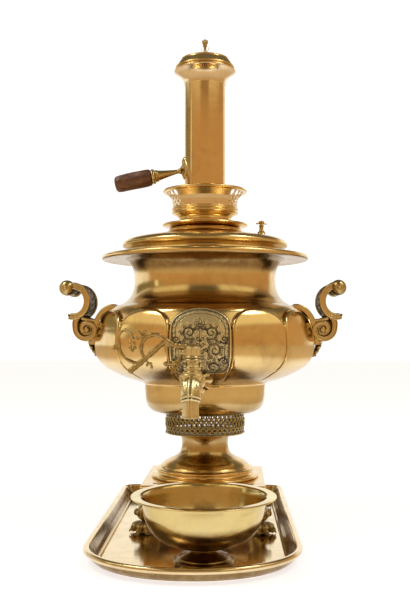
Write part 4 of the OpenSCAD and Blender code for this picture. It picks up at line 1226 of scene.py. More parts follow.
hr = handle()
def dull_faces(ob, amount):
    """The wide faces keep their patina, the side faces are rubbed bright."""
    me = ob.data
    nv = np.empty(len(me.vertices) * 3, np.float32)
    me.vertices.foreach_get("normal", nv)
    ny = np.abs(nv.reshape(-1, 3)[:, 1])
    at = me.attributes["cavity_and_shade"].data
    c_ = np.empty(len(at), np.float32)
    at.foreach_get("value", c_)
    wide_ = np.clip(1 - ny * 1.3, 0, 1)
    c_ = np.where(wide_ > 0.1, np.maximum(c_, 0.02), c_)
    at.foreach_set("value", (c_ + amount * wide_).astype(np.float32))


h_r = make("handle_scroll_right", hr, M_CAST, "samovar_body", ["handle_right"], sharp=50, cavity_and_shade=(10, 0.8))
MX = np.zeros((3, 4))
MX[:, :3] = np.diag((-1, 1, 1))
h_l = make("handle_scroll_left", Geo().join(handle(189.0), MX), M_CAST, "samovar_body", ["handle_left"], sharp=50, cavity_and_shade=(10, 0.8))
dull_faces(h_r, 0.3)
dull_faces(h_l, 0.3)


# ---- tap ------------------------------------------------------------------------------------------
TY = -196.0


def hexring(n, R, k, ph=0.0, sx=1.0, sn=1.0):
    """Round-cornered hexagon with one corner towards the normal; k 0 is a circle."""
    a = np.arange(n) * 2 * PI / n
    f = math.cos(PI / 6) / np.cos((a % (PI / 3)) - PI / 6)
    r = R * ((1 - k) * 0.97 + k * f)
    return np.stack([r * np.sin(a) * sx, r * np.cos(a) * sn], 1)


def kite(n, R, k):
    """Four-sided section, one corner to the front with a thin groove in it; k 0 is a circle."""
    a = np.arange(n) * 2 * PI / n
    f = (np.abs(np.sin(a)) ** 1.22 + np.abs(np.cos(a) / 1.12) ** 1.22) ** (-1 / 1.22)
    r = R * ((1 - k) * 0.97 + k * f * 1.05)
    d = np.abs((a + PI) % (2 * PI) - PI)
    r = r - 1.25 * k * np.exp(-(d / 0.085) ** 2)
    return np.stack([r * np.sin(a), r * np.cos(a)], 1)


def loft_dir(P, T, secs, up=(1, 0, 0), cap0=True, cap1=True):
    """Like loft, with the direction of each section given."""
    P, T = np.asarray(P, float), np.asarray(T, float)
    T = T / np.linalg.norm(T, axis=1)[:, None]
    U = np.asarray(up, float)
    S = U - T * (T @ U)[:, None]
    S /= np.linalg.norm(S, axis=1)[:, None]
    Nn = np.cross(T, S)
    m = len(secs[0])
    V = np.concatenate([P[i] + secs[i][:, :1] * S[i] + secs[i][:, 1:] * Nn[i] for i in range(len(P))])
    V = np.vstack([V, P[0], P[-1]])
    j = np.arange(m)
    j2 = (j + 1) % m
    L = (len(P) - 1) * m
    Tr = np.vstack([np.stack([np.full(m, len(V) - 2), j2, j], 1), np.stack([np.full(m, len(V) - 1), L + j, L + j2], 1)])
    return closed(V, grid(len(P), m), Tr)


def tap():
    g = Geo()
    # shield-shaped body of the cock round the plug
    zs = [187.2, 187.6, 189.4, 193.0, 198.0, 203.0, 207.6, 210.8, 212.8, 213.8, 214.2, 214.2]
    hx = [5.0, 6.8, 8.6, 10.0, 10.9, 11.9, 13.0, 13.7, 13.8, 13.0, 11.4, 8.0]
    hy = [5.0, 6.8, 8.6, 10.0, 10.8, 11.2, 11.4, 11.4, 11.2, 10.8, 10.2, 8.0]
    P = np.array([[0, TY, z] for z in zs])
    T = np.tile([0, 0, 1.0], (len(zs), 1))
    g.join(loft_dir(P, T, [ring2(72, a, b_, 2.3) for a, b_ in zip(hx, hy)]))
    # raised edge lines down both sides of the shield
    for sx in (-1, 1):
        q = curve([[sx * 13.6, TY - 3.2, 212.4], [sx * 12.8, TY - 6.0, 206.4], [sx * 10.8, TY - 8.2, 199.0], [sx * 9.6, TY - 8.8, 191.0]], 8)
        g.join(tube(q, np.linspace(1.15, 0.7, len(q)), 10, up=(0, 1, 0)))
    # collar, leaf band and seat ring above
    g.join(move(spin([[7.0, 213.6], [10.2, 213.6], [10.9, 214.4], [10.9, 216.6], [10.1, 217.4], [9.4, 217.8], [9.4, 219.6], [10.3, 220.2],
                      [10.6, 221.0], [10.2, 221.8], [7.0, 222.0]], 96, 0.35), 0, TY, 0))
    g.join(move(spin([[6.2, 221.6], [9.6, 221.6], [9.9, 223.0], [9.9, 227.8], [10.4, 228.6], [11.0, 229.2], [11.0, 230.8], [10.4, 231.6],
                      [6.2, 231.8]], 96, 0.3), 0, TY, 0))
    for k in range(9):
        a = 2 * PI * (k + 0.5) / 9
        ca, sa = math.cos(a), math.sin(a)
        P = np.array([[ca * r, TY + sa * r, z] for r, z in ((9.8, 222.2), (10.7, 223.6), (11.0, 225.6), (10.5, 227.8))])
        g.join(leaf(curve(P, 4), 2.9, 1.2, (-sa, ca, 0), 3, 0.12, 16))
    # inlet pipe to the body
    inl = [[0, 90], [8.2, 90], [8.2, 124], [8.2, 138], [9.4, 140.0], [11.4, 141.0], [11.8, 142.6], [11.2, 144.2], [9.0, 145.2], [8.2, 147.0],
           [8.0, 160], [8.6, 168], [9.6, 175], [10.4, 182], [10.6, 190], [0, 191]]
    g.join(move(spin(inl, 80, 0.5), 0, 0, 203.0, rx=PI / 2))
    # beak-shaped spout, corner to the front, open at the mouth
    ctr = curve([[0, TY - 3.0, 205.4], [0, TY - 8.6, 203.4], [0, TY - 14.0, 198.6], [0, TY - 18.6, 192.0], [0, TY - 21.6, 184.6],
                 [0, TY - 23.4, 177.4], [0, TY - 24.0, 170.6], [0, TY - 24.0, 165.0]], 8)
    s = np.concatenate([[0], np.cumsum(np.linalg.norm(np.diff(ctr, axis=0), axis=1))])
    u = s / s[-1]
    Tn = np.gradient(ctr, axis=0)
    R = np.interp(u, [0, 0.2, 0.4, 0.52, 0.56, 0.62, 0.70, 0.8, 0.9, 1.0], [9.2, 10.6, 11.2, 10.9, 10.4, 9.8, 9.3, 9.0, 9.2, 9.7])
    R = R + 1.35 * np.exp(-((u - 0.545) / 0.016) ** 2) + 1.15 * np.exp(-((u - 0.615) / 0.016) ** 2) + 0.5 * np.exp(-((u - 0.985) / 0.02) ** 2)
    K = np.interp(u, [0, 0.25, 0.5, 1.0], [0.0, 0.25, 0.85, 1.0])
    secs = [kite(96, R[i], K[i]) for i in range(len(ctr))]
    P, T = list(ctr), list(Tn)
    for rr, dz in ((9.0, 0.0), (5.4, 0.0), (5.0, 0.5), (5.0, 6.0), (5.0, 16.0), (0.8, 16.2)):
        P.append(np.array([0, TY - 24.0, 165.0 - (0.4 if rr == 9.0 else 0.0) + dz]))
        T.append(np.array([0, 0, -1.0]))
        secs.append(kite(96, rr, 1.0 if rr > 6 else 0.0))
    g.join(loft_dir(P, T, secs))
    # small leaf where the spout leaves the body
    for sx in (-1, 0, 1):
        P = np.array([[sx * 5.0, TY - 11.6, 210.0], [sx * 5.6, TY - 18.8, 205.4], [sx * 4.4, TY - 25.2, 198.0], [sx * 2.6, TY - 28.6, 192.4]])
        g.join(leaf(curve(P, 6), 3.8, 1.5, (1, 0, 0), 4, 0.10, 20))
    return g


YAW = math.radians(-2.1)
make("tap_cast", move(tap(), rz=YAW), M_TAP, "samovar_body", ["tap_body"], sharp=38, cavity_and_shade=(8, 0.6))


def escutcheon():
    """Shell-like cast rose between the tap and the body."""
    g = Geo()
    nr, na = 22, 168
    a = np.arange(na) * 2 * PI / na
    rows = []
    for i, t in enumerate(np.linspace(0, 1, nr)):
        sc_ = np.abs(np.cos(5 * a)) ** 0.7
        rad = (15.4 + 3.6 * sc_) * t
        h = 128.0 + 8.6 * (1 - t ** 1.7) + 1.7 * sc_ * math.sin(PI * min(1, t * 0.96)) + 0.5 * np.cos(20 * a) * t
        rows.append(np.stack([rad * np.cos(a), -h, 203 + rad * np.sin(a)], 1))
    # skirt down to the belly
    last = rows[-1]
    back = last.copy()
    mid = last.copy()
    mid[:, 1] = last[:, 1] + 2.2
    back[:, 1] = -np.interp(back[:, 2], [184, 193, 197.2, 201.6, 207.4, 213, 222], [87, 89, 100, 112, 124, 132, 142]) + 1.5
    back[:, 1] = np.maximum(back[:, 1], mid[:, 1] + 1.0)
    rows += [mid, back]
    V = np.vstack(rows + [[[0, -136.6, 203]], [[0, -100, 203]]])
    m = len(rows)
    j = np.arange(na)
    j2 = (j + 1) % na
    Tr = np.vstack([np.stack([np.full(na, len(V) - 1), (m - 1) * na + j, (m - 1) * na + j2], 1)])
    Q = grid(m, na)
    return closed(V, Q, Tr)


es = make("tap_rose_cast", move(escutcheon(), rz=YAW), M_CAST, "samovar_body", ["tap_flange"], sharp=45, cavity_and_shade=(8, 0.7))
weld(es)


def plug():
    g = Geo()
    p = np.vstack([[[0, 179.2], [2.6, 179.2], [3.0, 179.8], [3.0, 182.2], [5.9, 182.4], [5.95, 231.9], [9.8, 232.3], [10.4, 232.8],
                    [10.4, 233.8], [9.7, 234.4], [9.3, 235.0], [9.2, 243.6], [9.6, 244.2], [9.9, 245.0], [9.5, 245.9], [8.6, 246.3]],
                   curve([[7.8, 246.8], [6.0, 248.0], [3.2, 248.7]], 4), [[0, 248.8]]])
    g.join(move(spin(p, 96, 0.3), 0, TY, 0))
    # facets of the head: flat raised panels
    for k in range(10):
        a = 2 * PI * k / 10
        ca, sa = math.cos(a), math.sin(a)
        P = np.array([[ca * 8.4, TY + sa * 8.4, z] for z in (235.6, 237.0, 241.6, 243.2)])
        sec = [ring2(20, w_, 1.25, 5) for w_ in (2.0, 2.5, 2.5, 2.0)]
        g.join(loft(P, sec, (-sa, ca, 0)))
    # boss that holds the key
    g.join(move(spin([[0, 0], [4.9, 0], [5.0, 1.2], [4.2, 2.2], [3.6, 3.6], [3.9, 5.0], [4.3, 5.8], [4.0, 6.9], [3.0, 7.4], [0, 7.5]], 48, 0.35),
                -8.2, TY, 239.0, ry=-PI / 2))
    return g


make("plug_turned", move(plug(), rz=YAW), M_TAP, "plug_body", ["tap_plug"], sharp=40, cavity_and_shade=(6, 0.5))


def K(px, py, dy=0.0):
    return [-(192.4 - px) / 1.2 * 1.4, TY + dy, (189.5 - (py - 330) / 1.2) * 1.4]


def key():
    """Branch-shaped key: a forked twig with tendrils, buds and small leaves."""
    g = Geo()

    def br(pts, r0, r1, bulge=None, n=14, k=7):
        q = curve(pts, k)
        t = np.linspace(0, 1, len(q))
        r0, r1 = 1.14 * r0, 1.14 * r1
        r = r0 + (r1 - r0) * t + 0.10 * np.sin(t * 19) * r0 + (0.10 * np.sin(t * 43 + 1) * r0)
        g.join(tube(q, r, n, up=(0, 1, 0)))
        return q

    # stem out of the boss, dividing in two
    br([K(184.6, 346.6), K(180, 346.4), K(175, 345.6), K(169.5, 344.6), K(165, 342.2)], 3.1, 2.4)
    br([K(172, 344.6, -0.6), K(167.5, 341.4, -1), K(161, 336.6, -1.2), K(154.4, 334.9, -1), K(147.8, 336.6, -0.6), K(143.2, 341, 0),
        K(140.9, 347.4, 0.4), K(141.6, 353.4, 0.6), K(143.0, 356.4, 0.8)], 2.4, 1.7)
    # thick cut branch across
    br([K(165.6, 340.6, 1.6), K(160.6, 345.0, 1.4), K(153.6, 351.4, 0.8), K(146.4, 357.6, 0.2), K(138.4, 364.6, -0.4), K(130.6, 371.0, -1.0)], 2.1, 3.1, k=8)
    br([K(163.4, 343.8, 3.2), K(157.4, 349.6, 3.0), K(151.6, 354.6, 2.4), K(147.0, 358.4, 1.8)], 1.3, 1.6)
    # tendril on the left
    br([K(138.0, 364.0, 1.2), K(133.4, 363.0, 1.8), K(127.6, 360.6, 2.0), K(122.4, 356.4, 1.8), K(119.2, 350.4, 1.4), K(118.0, 343.4, 1.0),
        K(118.4, 336.8, 0.6), K(120.6, 332.4, 0.2), K(124.6, 330.4, 0), K(128.6, 331.2, 0), K(131.4, 334.4, 0.2), K(132.6, 338.6, 0.4)], 1.9, 1.5)
    # bark scales and leaves along the end of the tendril
    for (x, y, a_, w_) in ((119.0, 335.0, 100, 1.5), (121.6, 331.8, 60, 1.6), (125.4, 330.2, 10, 1.7), (129.0, 331.6, -30, 1.7), (131.6, 335.0, -65, 1.7),
                           (131.0, 340.6, -120, 2.1), (133.4, 341.8, -60, 2.1), (131.0, 345.6, -115, 2.2), (134.0, 346.4, -65, 2.2), (132.2, 348.8, -90, 2.4)):
        c, s_ = math.cos(math.radians(a_)), math.sin(math.radians(a_))
        L_ = 3.0 if w_ < 2 else 4.4
        b0 = np.array(K(x, y, -0.6))
        P = np.array([b0, b0 + [c * L_ * 0.5, -1.3, s_ * L_ * 0.5], b0 + [c * L_, -1.0, s_ * L_]])
        g.join(leaf(curve(P, 4), w_, 1.3, (-s_, 0, c), 2, 0.1, 12))
    # side sprig with two leaves at the top
    br([K(136.6, 338.6, 0), K(139.0, 338.6, -0.4), K(142.0, 336.8, -0.6), K(144.6, 335.8, -0.6)], 1.2, 1.5)
    br([K(141.4, 336.8, -0.4), K(141.8, 334.0, -0.6), K(143.2, 331.0, -0.6)], 1.1, 0.8)
    for (x, y, a_, w_) in ((142.2, 335.4, 75, 2.3), (143.4, 333.6, 40, 2.2), (141.2, 334.4, 130, 1.9), (138.0, 338.6, 160, 1.6)):
        c, s_ = math.cos(math.radians(a_)), math.sin(math.radians(a_))
        b0 = np.array(K(x, y, -0.8))
        P = np.array([b0, b0 + [c * 2.6, -1.2, s_ * 2.6], b0 + [c * 5.2, -0.8, s_ * 5.2]])
        g.join(leaf(curve(P, 4), w_, 1.3, (-s_, 0, c), 2, 0.1, 12))
    # buds
    br([K(119.6, 351.6, 1.4), K(116.8, 350.4, 1.0), K(114.4, 348.0, 0.8)], 1.3, 1.1)
    for (x, y) in ((113.8, 346.4), (113.0, 349.2), (143.2, 357.2)):
        p = K(x, y, 0.4)
        g.join(ball(p[0], p[1], p[2], 1.9, 16))
    # twig below the branch
    br([K(145.6, 361.0, 0.6), K(148.6, 363.6, 1.0), K(151.8, 366.6, 1.2)], 1.3, 1.0)
    for (x, y, a_) in ((149.0, 363.4, -10), (151.0, 366.0, -70), (147.4, 363.4, -100)):
        c, s_ = math.cos(math.radians(a_)), math.sin(math.radians(a_))
        b0 = np.array(K(x, y, 0.2))
        P = np.array([b0, b0 + [c * 2.2, -1.2, s_ * 2.2], b0 + [c * 4.2, -0.8, s_ * 4.2]])
        g.join(leaf(curve(P, 4), 1.7, 1.1, (-s_, 0, c), 2, 0.1, 12))
    # loop on the right, its stub and the long leaf
    br([K(171.6, 344.8, 0.6), K(175.6, 346.0, 0.8), K(179.0, 349.6, 0.6), K(180.4, 354.6, 0.2), K(179.6, 359.6, -0.4), K(176.4, 362.8, -0.6),
        K(171.4, 363.8, -0.4), K(165.6, 363.9, 0)], 2.2, 2.5)
    P = np.array([K(181.6, 357.2, -1.0), K(178.6, 362.0, -2.0), K(175.0, 368.0, -2.4), K(171.0, 374.6, -2.2)])
    g.join(leaf(curve(P, 7), 2.6, 1.8, (0.8, 0, 0.5), 5, 0.1, 20, mid=0.7))
    return g


make("key_cast", move(key(), rz=YAW), M_CAST, "plug_body", ["tap_key"], sharp=50, cavity_and_shade=(5, 0.5))


# ---- feet: cast paws under small scrolls ----------------------------------------------------------------
def foot():
    """Drawn for the +X +Y corner, its outward direction turned to +X."""
    g = Geo()
    g.join(move(spin([[0, 28.6], [9, 28.6], [12.4, 29.4], [13.6, 30.8], [13.4, 32.4], [12.2, 33.2], [12.2, 34.0], [0, 34.0]], 48, 0.4), -3.5, 0, 0))
    leg = curve([[-3.5, 0, 30.0], [4.6, 0, 29.2], [8.8, 0, 26.0], [7.4, 0, 21.8], [3.4, 0, 18.4], [1.4, 0, 14.6], [2.8, 0, 10.4], [6.4, 0, 7.6]], 7)
    t = np.linspace(0, 1, len(leg))
    r = np.interp(t, [0, 0.15, 0.3, 0.55, 0.7, 0.85, 1], [8.5, 7.8, 6.6, 5.0, 5.2, 7.4, 8.0])
    g.join(tube(leg, r, 28, up=(0, 1, 0), flat=0.86))
    # scroll ears either side of the knee
    for sy in (-1, 1):
        g.join(move(spin([[0, 0], [3.2, 0.2], [4.4, 1.4], [4.4, 2.6], [3.2, 3.6], [1.8, 3.2], [1.2, 4.0], [0, 4.2]], 28, 0.3), 11.2, sy * 4.6, 26.8, rx=-sy * PI / 2))
    # knee ball
    g.join(ball(13.2, 0, 26.4, 3.9, 24))
    # toes with claws
    for k, a in enumerate((-66, -24, 24, 66)):
        c, s_ = math.cos(math.radians(a)), math.sin(math.radians(a))
        P = np.array([[2 + 2 * c, 2 * s_, 9.4], [4 + 7.4 * c, 8.4 * s_, 10.0], [5 + 11.4 * c, 12.0 * s_, 8.4], [5.4 + 13.6 * c, 13.8 * s_, 5.6]])
        q = curve(P, 6)
        tt = np.linspace(0, 1, len(q))
        g.join(tube(q, np.interp(tt, [0, 0.45, 0.75, 1], [5.2, 4.7, 5.0, 3.4]), 18, up=(0, 0, 1)))
        cl = np.array([[5.6 + 15.2 * c, 15.2 * s_, 6.6], [5.8 + 17.6 * c, 17.2 * s_, 4.8], [5.8 + 18.4 * c, 18.0 * s_, 2.9]])
        g.join(tube(curve(cl, 4), np.linspace(1.8, 0.6, 9), 12, up=(0, 0, 1)))
    g.join(ball(-3.2, 0, 8.6, 6.0, 28))
    # sole
    g.join(move(spin([[0, 2.5], [12.6, 2.5], [13.2, 3.1], [12.6, 4.6], [9, 6.4], [0, 6.6]], 40, 0.4), 3.4, 0, 0, s=(1, 1.08, 1)))
    return g


ft = foot()
for nm, a in (("foot_rear_right", 45), ("foot_rear_left", 135), ("foot_front_left", 225), ("foot_front_right", 315)):
    ra = math.radians(a)
    gg = move(ft, 104.6 * math.cos(ra), 104.6 * math.sin(ra), 0, rz=ra)
    make(nm + "_paw", gg, M_CAST, "samovar_body", [nm], sharp=50, cavity_and_shade=(8, 0.7))


# ---- engraved front panel: generic scrolls and leaves, cut into a pale plate -------------------------------
def panel():
    S_PB = float(np.interp(214.0, BELR[:, 1], SB))
    sc0 = (S_TOP + S_PB) / 2 + 4.0
    Kr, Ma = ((96, 520))
    X_ED = 0.955

    # outline of the plate in (u, v) mm, v up from the middle
    phi = np.arange(Ma) * 2 * PI / Ma
    cu, cv = np.cos(phi), np.sin(phi)
    lo_, hi_ = np.zeros(Ma), np.full(Ma, 80.0)
    for _ in range(26):
        md = (lo_ + hi_) / 2
        s_ = sc0 + md * cv
        Rr = np.interp(s_, SB, BELR[:, 0])
        upp = np.clip((s_ - S_TOP) / A_TOP, 0, 9)
        dnn = np.clip((S_PB + 17.0 - s_) / 17.0, 0, 9)
        ww = np.where(s_ > S_TOP, H_TOP, 0.985 * THP * Rr)
        x = np.where(dnn > 0, (np.abs(md * cu / ww) ** 3.4 + dnn ** 3.4) ** (1 / 3.4), np.hypot(md * cu / ww, upp))
        ins = x < X_ED
        lo_ = np.where(ins, md, lo_)
        hi_ = np.where(ins, hi_, md)
    rim = lo_
    tt = np.linspace(0, 1, Kr) ** 0.8
    U = tt[:, None] * rim * cu
    Vv = tt[:, None] * rim * cv
    edge = rim[None] * (1 - tt[:, None])          # distance from the rim along the ray
    segs = []

    def line(p, w=0.5, mirror=True):
        p = np.asarray(p, float)
        for q in ((p, p * [-1, 1]) if mirror else (p,)):
            segs.append((q[:-1], q[1:], w))

    def arc_leaf(x, y, ang, L_, w_):
        c, s_ = math.cos(math.radians(ang)), math.sin(math.radians(ang))
        t = np.linspace(0, 1, 9)
        for sg in (-1, 1):
            lx = t * L_
            ly = sg * w_ * np.sin(PI * t) ** 0.8
            line(np.stack([x + lx * c - ly * s_, y + lx * s_ + ly * c], 1), 0.55)
        line([[x, y], [x + 0.7 * L_ * c, y + 0.7 * L_ * s_]], 0.32)

    def scroll(cx, cy, r, a0, turns, sg=1, leaves=5):
        t = np.linspace(0, 1, 46)
        a = math.radians(a0) + sg * 2 * PI * turns * t
        rr = r * (1 - 0.86 * t)
        P = np.stack([cx + rr * np.cos(a), cy + rr * np.sin(a)], 1)
        line(P, 0.8)
        rr2 = rr * 0.80
        line(np.stack([cx + rr2 * np.cos(a), cy + rr2 * np.sin(a)], 1)[:34], 0.5)
        for k in range(leaves):
            tk = 0.04 + 0.52 * k / leaves
            ak = a[int(tk * 45)]
            rk = rr[int(tk * 45)]
            arc_leaf(cx + rk * math.cos(ak), cy + rk * math.sin(ak), math.degrees(ak) + sg * 38, r * 0.46, r * 0.15)

    scroll(14.6, -20.0, 10.0, 200, 1.7, 1, 6)
    scroll(17.4, 1.0, 9.6, 250, 1.6, -1, 6)
    scroll(13.0, 21.4, 9.0, 230, 1.6, 1, 6)
    scroll(27.6, -11.2, 5.4, 180, 1.3, -1, 3)
    scroll(28.2, 13.2, 5.2, 200, 1.3, 1, 3)
    # middle stem with husks and a palmette on top
    line(np.stack([0.9 * np.sin(np.linspace(0, 5, 30)), np.linspace(-40, 24, 30)], 1), 0.5, False)
    for y in (-36, -29, -10, -3, 4, 11):
        arc_leaf(0.4, y, 52, 6.4, 1.6)
    for a_ in (90, 62, 34, 8):
        arc_leaf(0.0, 26.0, a_, 11.0 - abs(a_ - 90) * 0.045, 2.0)
    line([[0, 22], [4, 25], [8, 24.6], [10, 27]], 0.45)
    # ring of husks following the border
    n_h = 46
    for k in range(n_h):
        i = int(k * Ma / n_h)
        r0 = rim[i] - 5.4
        x0, y0 = r0 * cu[i], r0 * cv[i]
        segs.append((np.array([[x0 - 1.4 * cv[i], y0 + 1.4 * cu[i]]]), np.array([[x0 + 1.5 * cu[i], y0 + 1.5 * cv[i]]]), 0.34))
        segs.append((np.array([[x0 + 1.4 * cv[i], y0 - 1.4 * cu[i]]]), np.array([[x0 + 1.5 * cu[i], y0 + 1.5 * cv[i]]]), 0.34))
    pts = np.stack([U.ravel(), Vv.ravel()], 1)
    depth = np.zeros(len(pts))
    clear = np.full(len(pts), 99.0)
    for A, B, w_ in segs:
        for a_, b_ in zip(A, B):
            lo2 = np.minimum(a_, b_) - 3.2
            hi2 = np.maximum(a_, b_) + 3.2
            sel = np.nonzero((pts[:, 0] > lo2[0]) & (pts[:, 0] < hi2[0]) & (pts[:, 1] > lo2[1]) & (pts[:, 1] < hi2[1]))[0]
            if not len(sel):
                continue
            d = b_ - a_
            q = pts[sel] - a_
            t = np.clip(q @ d / max(d @ d, 1e-9), 0, 1)
            dist = np.linalg.norm(q - t[:, None] * d, axis=1)
            depth[sel] = np.maximum(depth[sel], np.clip(1.35 - dist / w_, 0, 1))
            clear[sel] = np.minimum(clear[sel], dist)
    depth = depth.reshape(U.shape)
    clear = clear.reshape(U.shape)
    # border: two cut lines and the bevel at the rim
    for e0, w_ in ((2.0, 0.7), (3.4, 0.5), (7.4, 0.6)):
        depth = np.maximum(depth, np.clip(1.35 - np.abs(edge - e0) / w_, 0, 1))
    # punched ground between the leaves
    gx = rng.uniform(-40, 40, 5200)
    gy = rng.uniform(-46, 46, 5200)
    from mathutils import kdtree
    kd = kdtree.KDTree(len(gx))
    for i in range(len(gx)):
        kd.insert((gx[i], gy[i], 0), i)
    kd.balance()
    near = np.array([kd.find((p[0], p[1], 0))[2] for p in pts]).reshape(U.shape)
    ground = (clear > 1.1) & (clear < 2.6) & (edge > 8.2)
    punch = np.clip(1.25 - near / 0.52, 0, 1) * ground
    h = -0.5 * depth - 0.28 * punch + 0.30 * np.clip(clear - 0.5, 0, 0.8) * (edge > 8) * (clear < 3.5)
    cavv = np.clip(np.maximum(depth, 0.85 * punch), 0, 1) * 0.5
    s_ = sc0 + Vv
    Rr = np.interp(s_, SB, BELR[:, 0])
    th = U / Rr
    ph_, _ = pillow(th, s_)
    nB = normals2(BELR)
    n0 = np.interp(s_, SB, nB[:, 0])
    n1 = np.interp(s_, SB, nB[:, 1])
    zz = np.interp(s_, SB, BELR[:, 1])
    ang = th - PI / 2

    def place(off):
        r = Rr + n0 * (ph_ + off)
        return np.stack([r * np.cos(ang), r * np.sin(ang), zz + n1 * (ph_ + off)], -1)

    top = place(1.15 + h)
    b1 = place(0.9)[-1]
    b2 = place(-0.3)[-1]
    V = np.vstack([top.reshape(-1, 3), b1, b2])
    Q = grid(Kr + 2, Ma)
    g = Geo()
    V[:Ma] = V[:Ma].mean(0)
    g.add(V, Q[:, ::-1])
    return g, np.concatenate([cavv.ravel(), np.zeros(2 * Ma)])


g, cv_ = panel()
pan = make("front_panel", g, M_PAN, "samovar_body", [], sharp=60)
pan.data.attributes["cavity_and_shade"].data.foreach_set("value", cv_.astype(np.float32))
weld(pan, 1e-5, fix=True)

# ---- extra darkening: even tarnish on some parts, painted shade and painted reflections on others -------
def tarnish_and_painted_shade(name, fn):
    me = bpy.data.objects[name].data
    n_ = len(me.vertices)
    co_v = np.empty(n_ * 3, np.float32)
    no_v = np.empty(n_ * 3, np.float32)
    me.vertices.foreach_get("co", co_v)
    me.vertices.foreach_get("normal", no_v)
    c_ = np.zeros(n_, np.float32)
    if "cavity_and_shade" in me.attributes:
        me.attributes["cavity_and_shade"].data.foreach_get("value", c_)
    else:
        me.attributes.new("cavity_and_shade", "FLOAT", "POINT")
    c_ = np.maximum(c_, fn(co_v.reshape(-1, 3) * 1000, no_v.reshape(-1, 3)))
    me.attributes["cavity_and_shade"].data.foreach_set("value", c_.astype(np.float32))


def ease(v, a, b):
    k_ = np.clip((v - a) / (b - a), 0, 1)
    return k_ * k_ * (3 - 2 * k_)


# body: painted reflection as a dark band on top of the neck for the flange underside it reflects, a painted dark band
# at the shoulder and foot of the neck, and painted shade under the belly, strongest at the front middle
tarnish_and_painted_shade("body_embossed", lambda v, n: np.maximum.reduce([
    0.66 * ease(v[:, 2], 338, 350), 0.34 * ease(v[:, 2], 292, 297) * (1 - ease(v[:, 2], 302, 309)), (0.34 + 0.42 * (v[:, 1] < 0) * (1 - ease(np.abs(v[:, 0]), 45, 95))) * (1 - ease(v[:, 2], 203, 226))]))
# painted shade on the flange's underside
tarnish_and_painted_shade("flange_turned", lambda v, n: 0.5 * (n[:, 2] < -0.3))
# pedestal: darker from 84 mm up the stem, more above 108 mm
tarnish_and_painted_shade("pedestal_turned", lambda v, n: 0.40 * ease(v[:, 2], 84, 92) + 0.14 * ease(v[:, 2], 108, 120))
# painted reflection: the cup darker towards its bottom, for the dark surroundings it reflects
tarnish_and_painted_shade("cup_spun", lambda v, n: 0.54 * (1 - ease(v[:, 2], 152, 186)))
tarnish_and_painted_shade("collar_turned", lambda v, n: np.full(len(v), 0.28))
# bowl: even darkening inside; outside, painted reflection of the tray's shaded floor, darker below 45 to 54 mm
tarnish_and_painted_shade("bowl_turned", lambda v, n: np.where((v[:, 0] - 7) * n[:, 0] + (v[:, 1] + 220) * n[:, 1] < 0, 0.30,
                                                0.22 + 0.38 * (1 - ease(v[:, 2], 45, 54))) * (v[:, 2] < 76.4) * np.where(v[:, 2] < 31, 1.0, n[:, 2] < 0.8))
# key: slight even tarnish, and painted shade on the faces that do not face the front
tarnish_and_painted_shade("key_cast", lambda v, n: 0.04 + 0.14 * (n[:, 1] > -0.3))
for nm_ in ("foot_front_left", "foot_front_right", "foot_rear_left", "foot_rear_right"):
    tarnish_and_painted_shade(nm_ + "_paw", lambda v, n: np.full(len(v), 0.16))
# painted shade on the lid's faces that do not face up, below 380 mm
tarnish_and_painted_shade("lid_turned", lambda v, n: 0.4 * (n[:, 2] < 0.1) * (v[:, 2] < 380))

# ---- studio -------------------------------------------------------------------------------------------------
sc = bpy.context.scene
fl = bpy.data.meshes.new("floor")
fl.from_pydata([(-6, -6, 0), (6, -6, 0), (6, 6, 0), (-6, 6, 0)], [], [(0, 1, 2, 3)])
floor = bpy.data.objects.new("floor", fl)
sc.collection.objects.link(floor)
fm, nt, b = nodes_of("floor_mat")
b.inputs["Roughness"].default_value = 0.7
b.inputs["Specular IOR Level"].default_value = 0.2
co = N(nt, "ShaderNodeTexCoord").outputs["Object"]
sp = N(nt, "ShaderNodeSeparateXYZ")
nt.links.new(co, sp.inputs[0])
fade = remap(nt, sp.outputs[1], -0.47, -0.395, 0.0, 1.0)
across = math2(nt, "ADD", sp.outputs[0], math2(nt, "MULTIPLY", sp.outputs[1], 0.0384))
wide = math2(nt, "SUBTRACT", math2(nt, "ABSOLUTE", across), math2(nt, "MULTIPLY", sp.outputs[1], 0.25))
fade = math2(nt, "MULTIPLY", fade, remap(nt, wide, 0.31, 0.52, 1.0, 0.0))
tone = ramp(nt, noise(nt, co, 3, 2), [(0.3, (0.875, 0.895, 0.94)), (0.7, (0.89, 0.91, 0.955))])
nt.links.new(mix(nt, fade, (0.64, 0.54, 0.42), tone), b.inputs["Base Color"])
nt.links.new(mix(nt, fade, (0.31, 0.25, 0.175), (0.60, 0.615, 0.66)), b.inputs["Emission Color"])
b.inputs["Emission Strength"].default_value = 1.0
fl.materials.append(fm)
floor.location.z = -0.0005

w = bpy.data.worlds.new("studio")
sc.world = w
w.use_nodes = True
nt = w.node_tree
nt.nodes.clear()
out = nt.nodes.new("ShaderNodeOutputWorld")
bg = nt.nodes.new("ShaderNodeBackground")
tc = nt.nodes.new("ShaderNodeTexCoord")
sep = nt.nodes.new("ShaderNodeSeparateXYZ")
nt.links.new(tc.outputs["Generated"], sep.inputs[0])
# white backdrop behind, a warm room on the tap's side, a dim ceiling with two pale soft boxes
X, Y, Z = sep.outputs


def soft(v, a, b):
    n_ = N(nt, "ShaderNodeMapRange", interpolation_type="SMOOTHSTEP")
    for k_, v_ in zip(("From Min", "From Max", "To Min", "To Max"), (a, b, 0, 1)):
        n_.inputs[k_].default_value = v_
    nt.links.new(v, n_.inputs["Value"])
    return n_.outputs[0]


def mul(*f):
    r_ = f[0]
    for q_ in f[1:]:
        r_ = math2(nt, "MULTIPLY", r_, q_)
    return r_


def inv(v):
    return math2(nt, "SUBTRACT", 1.0, v)


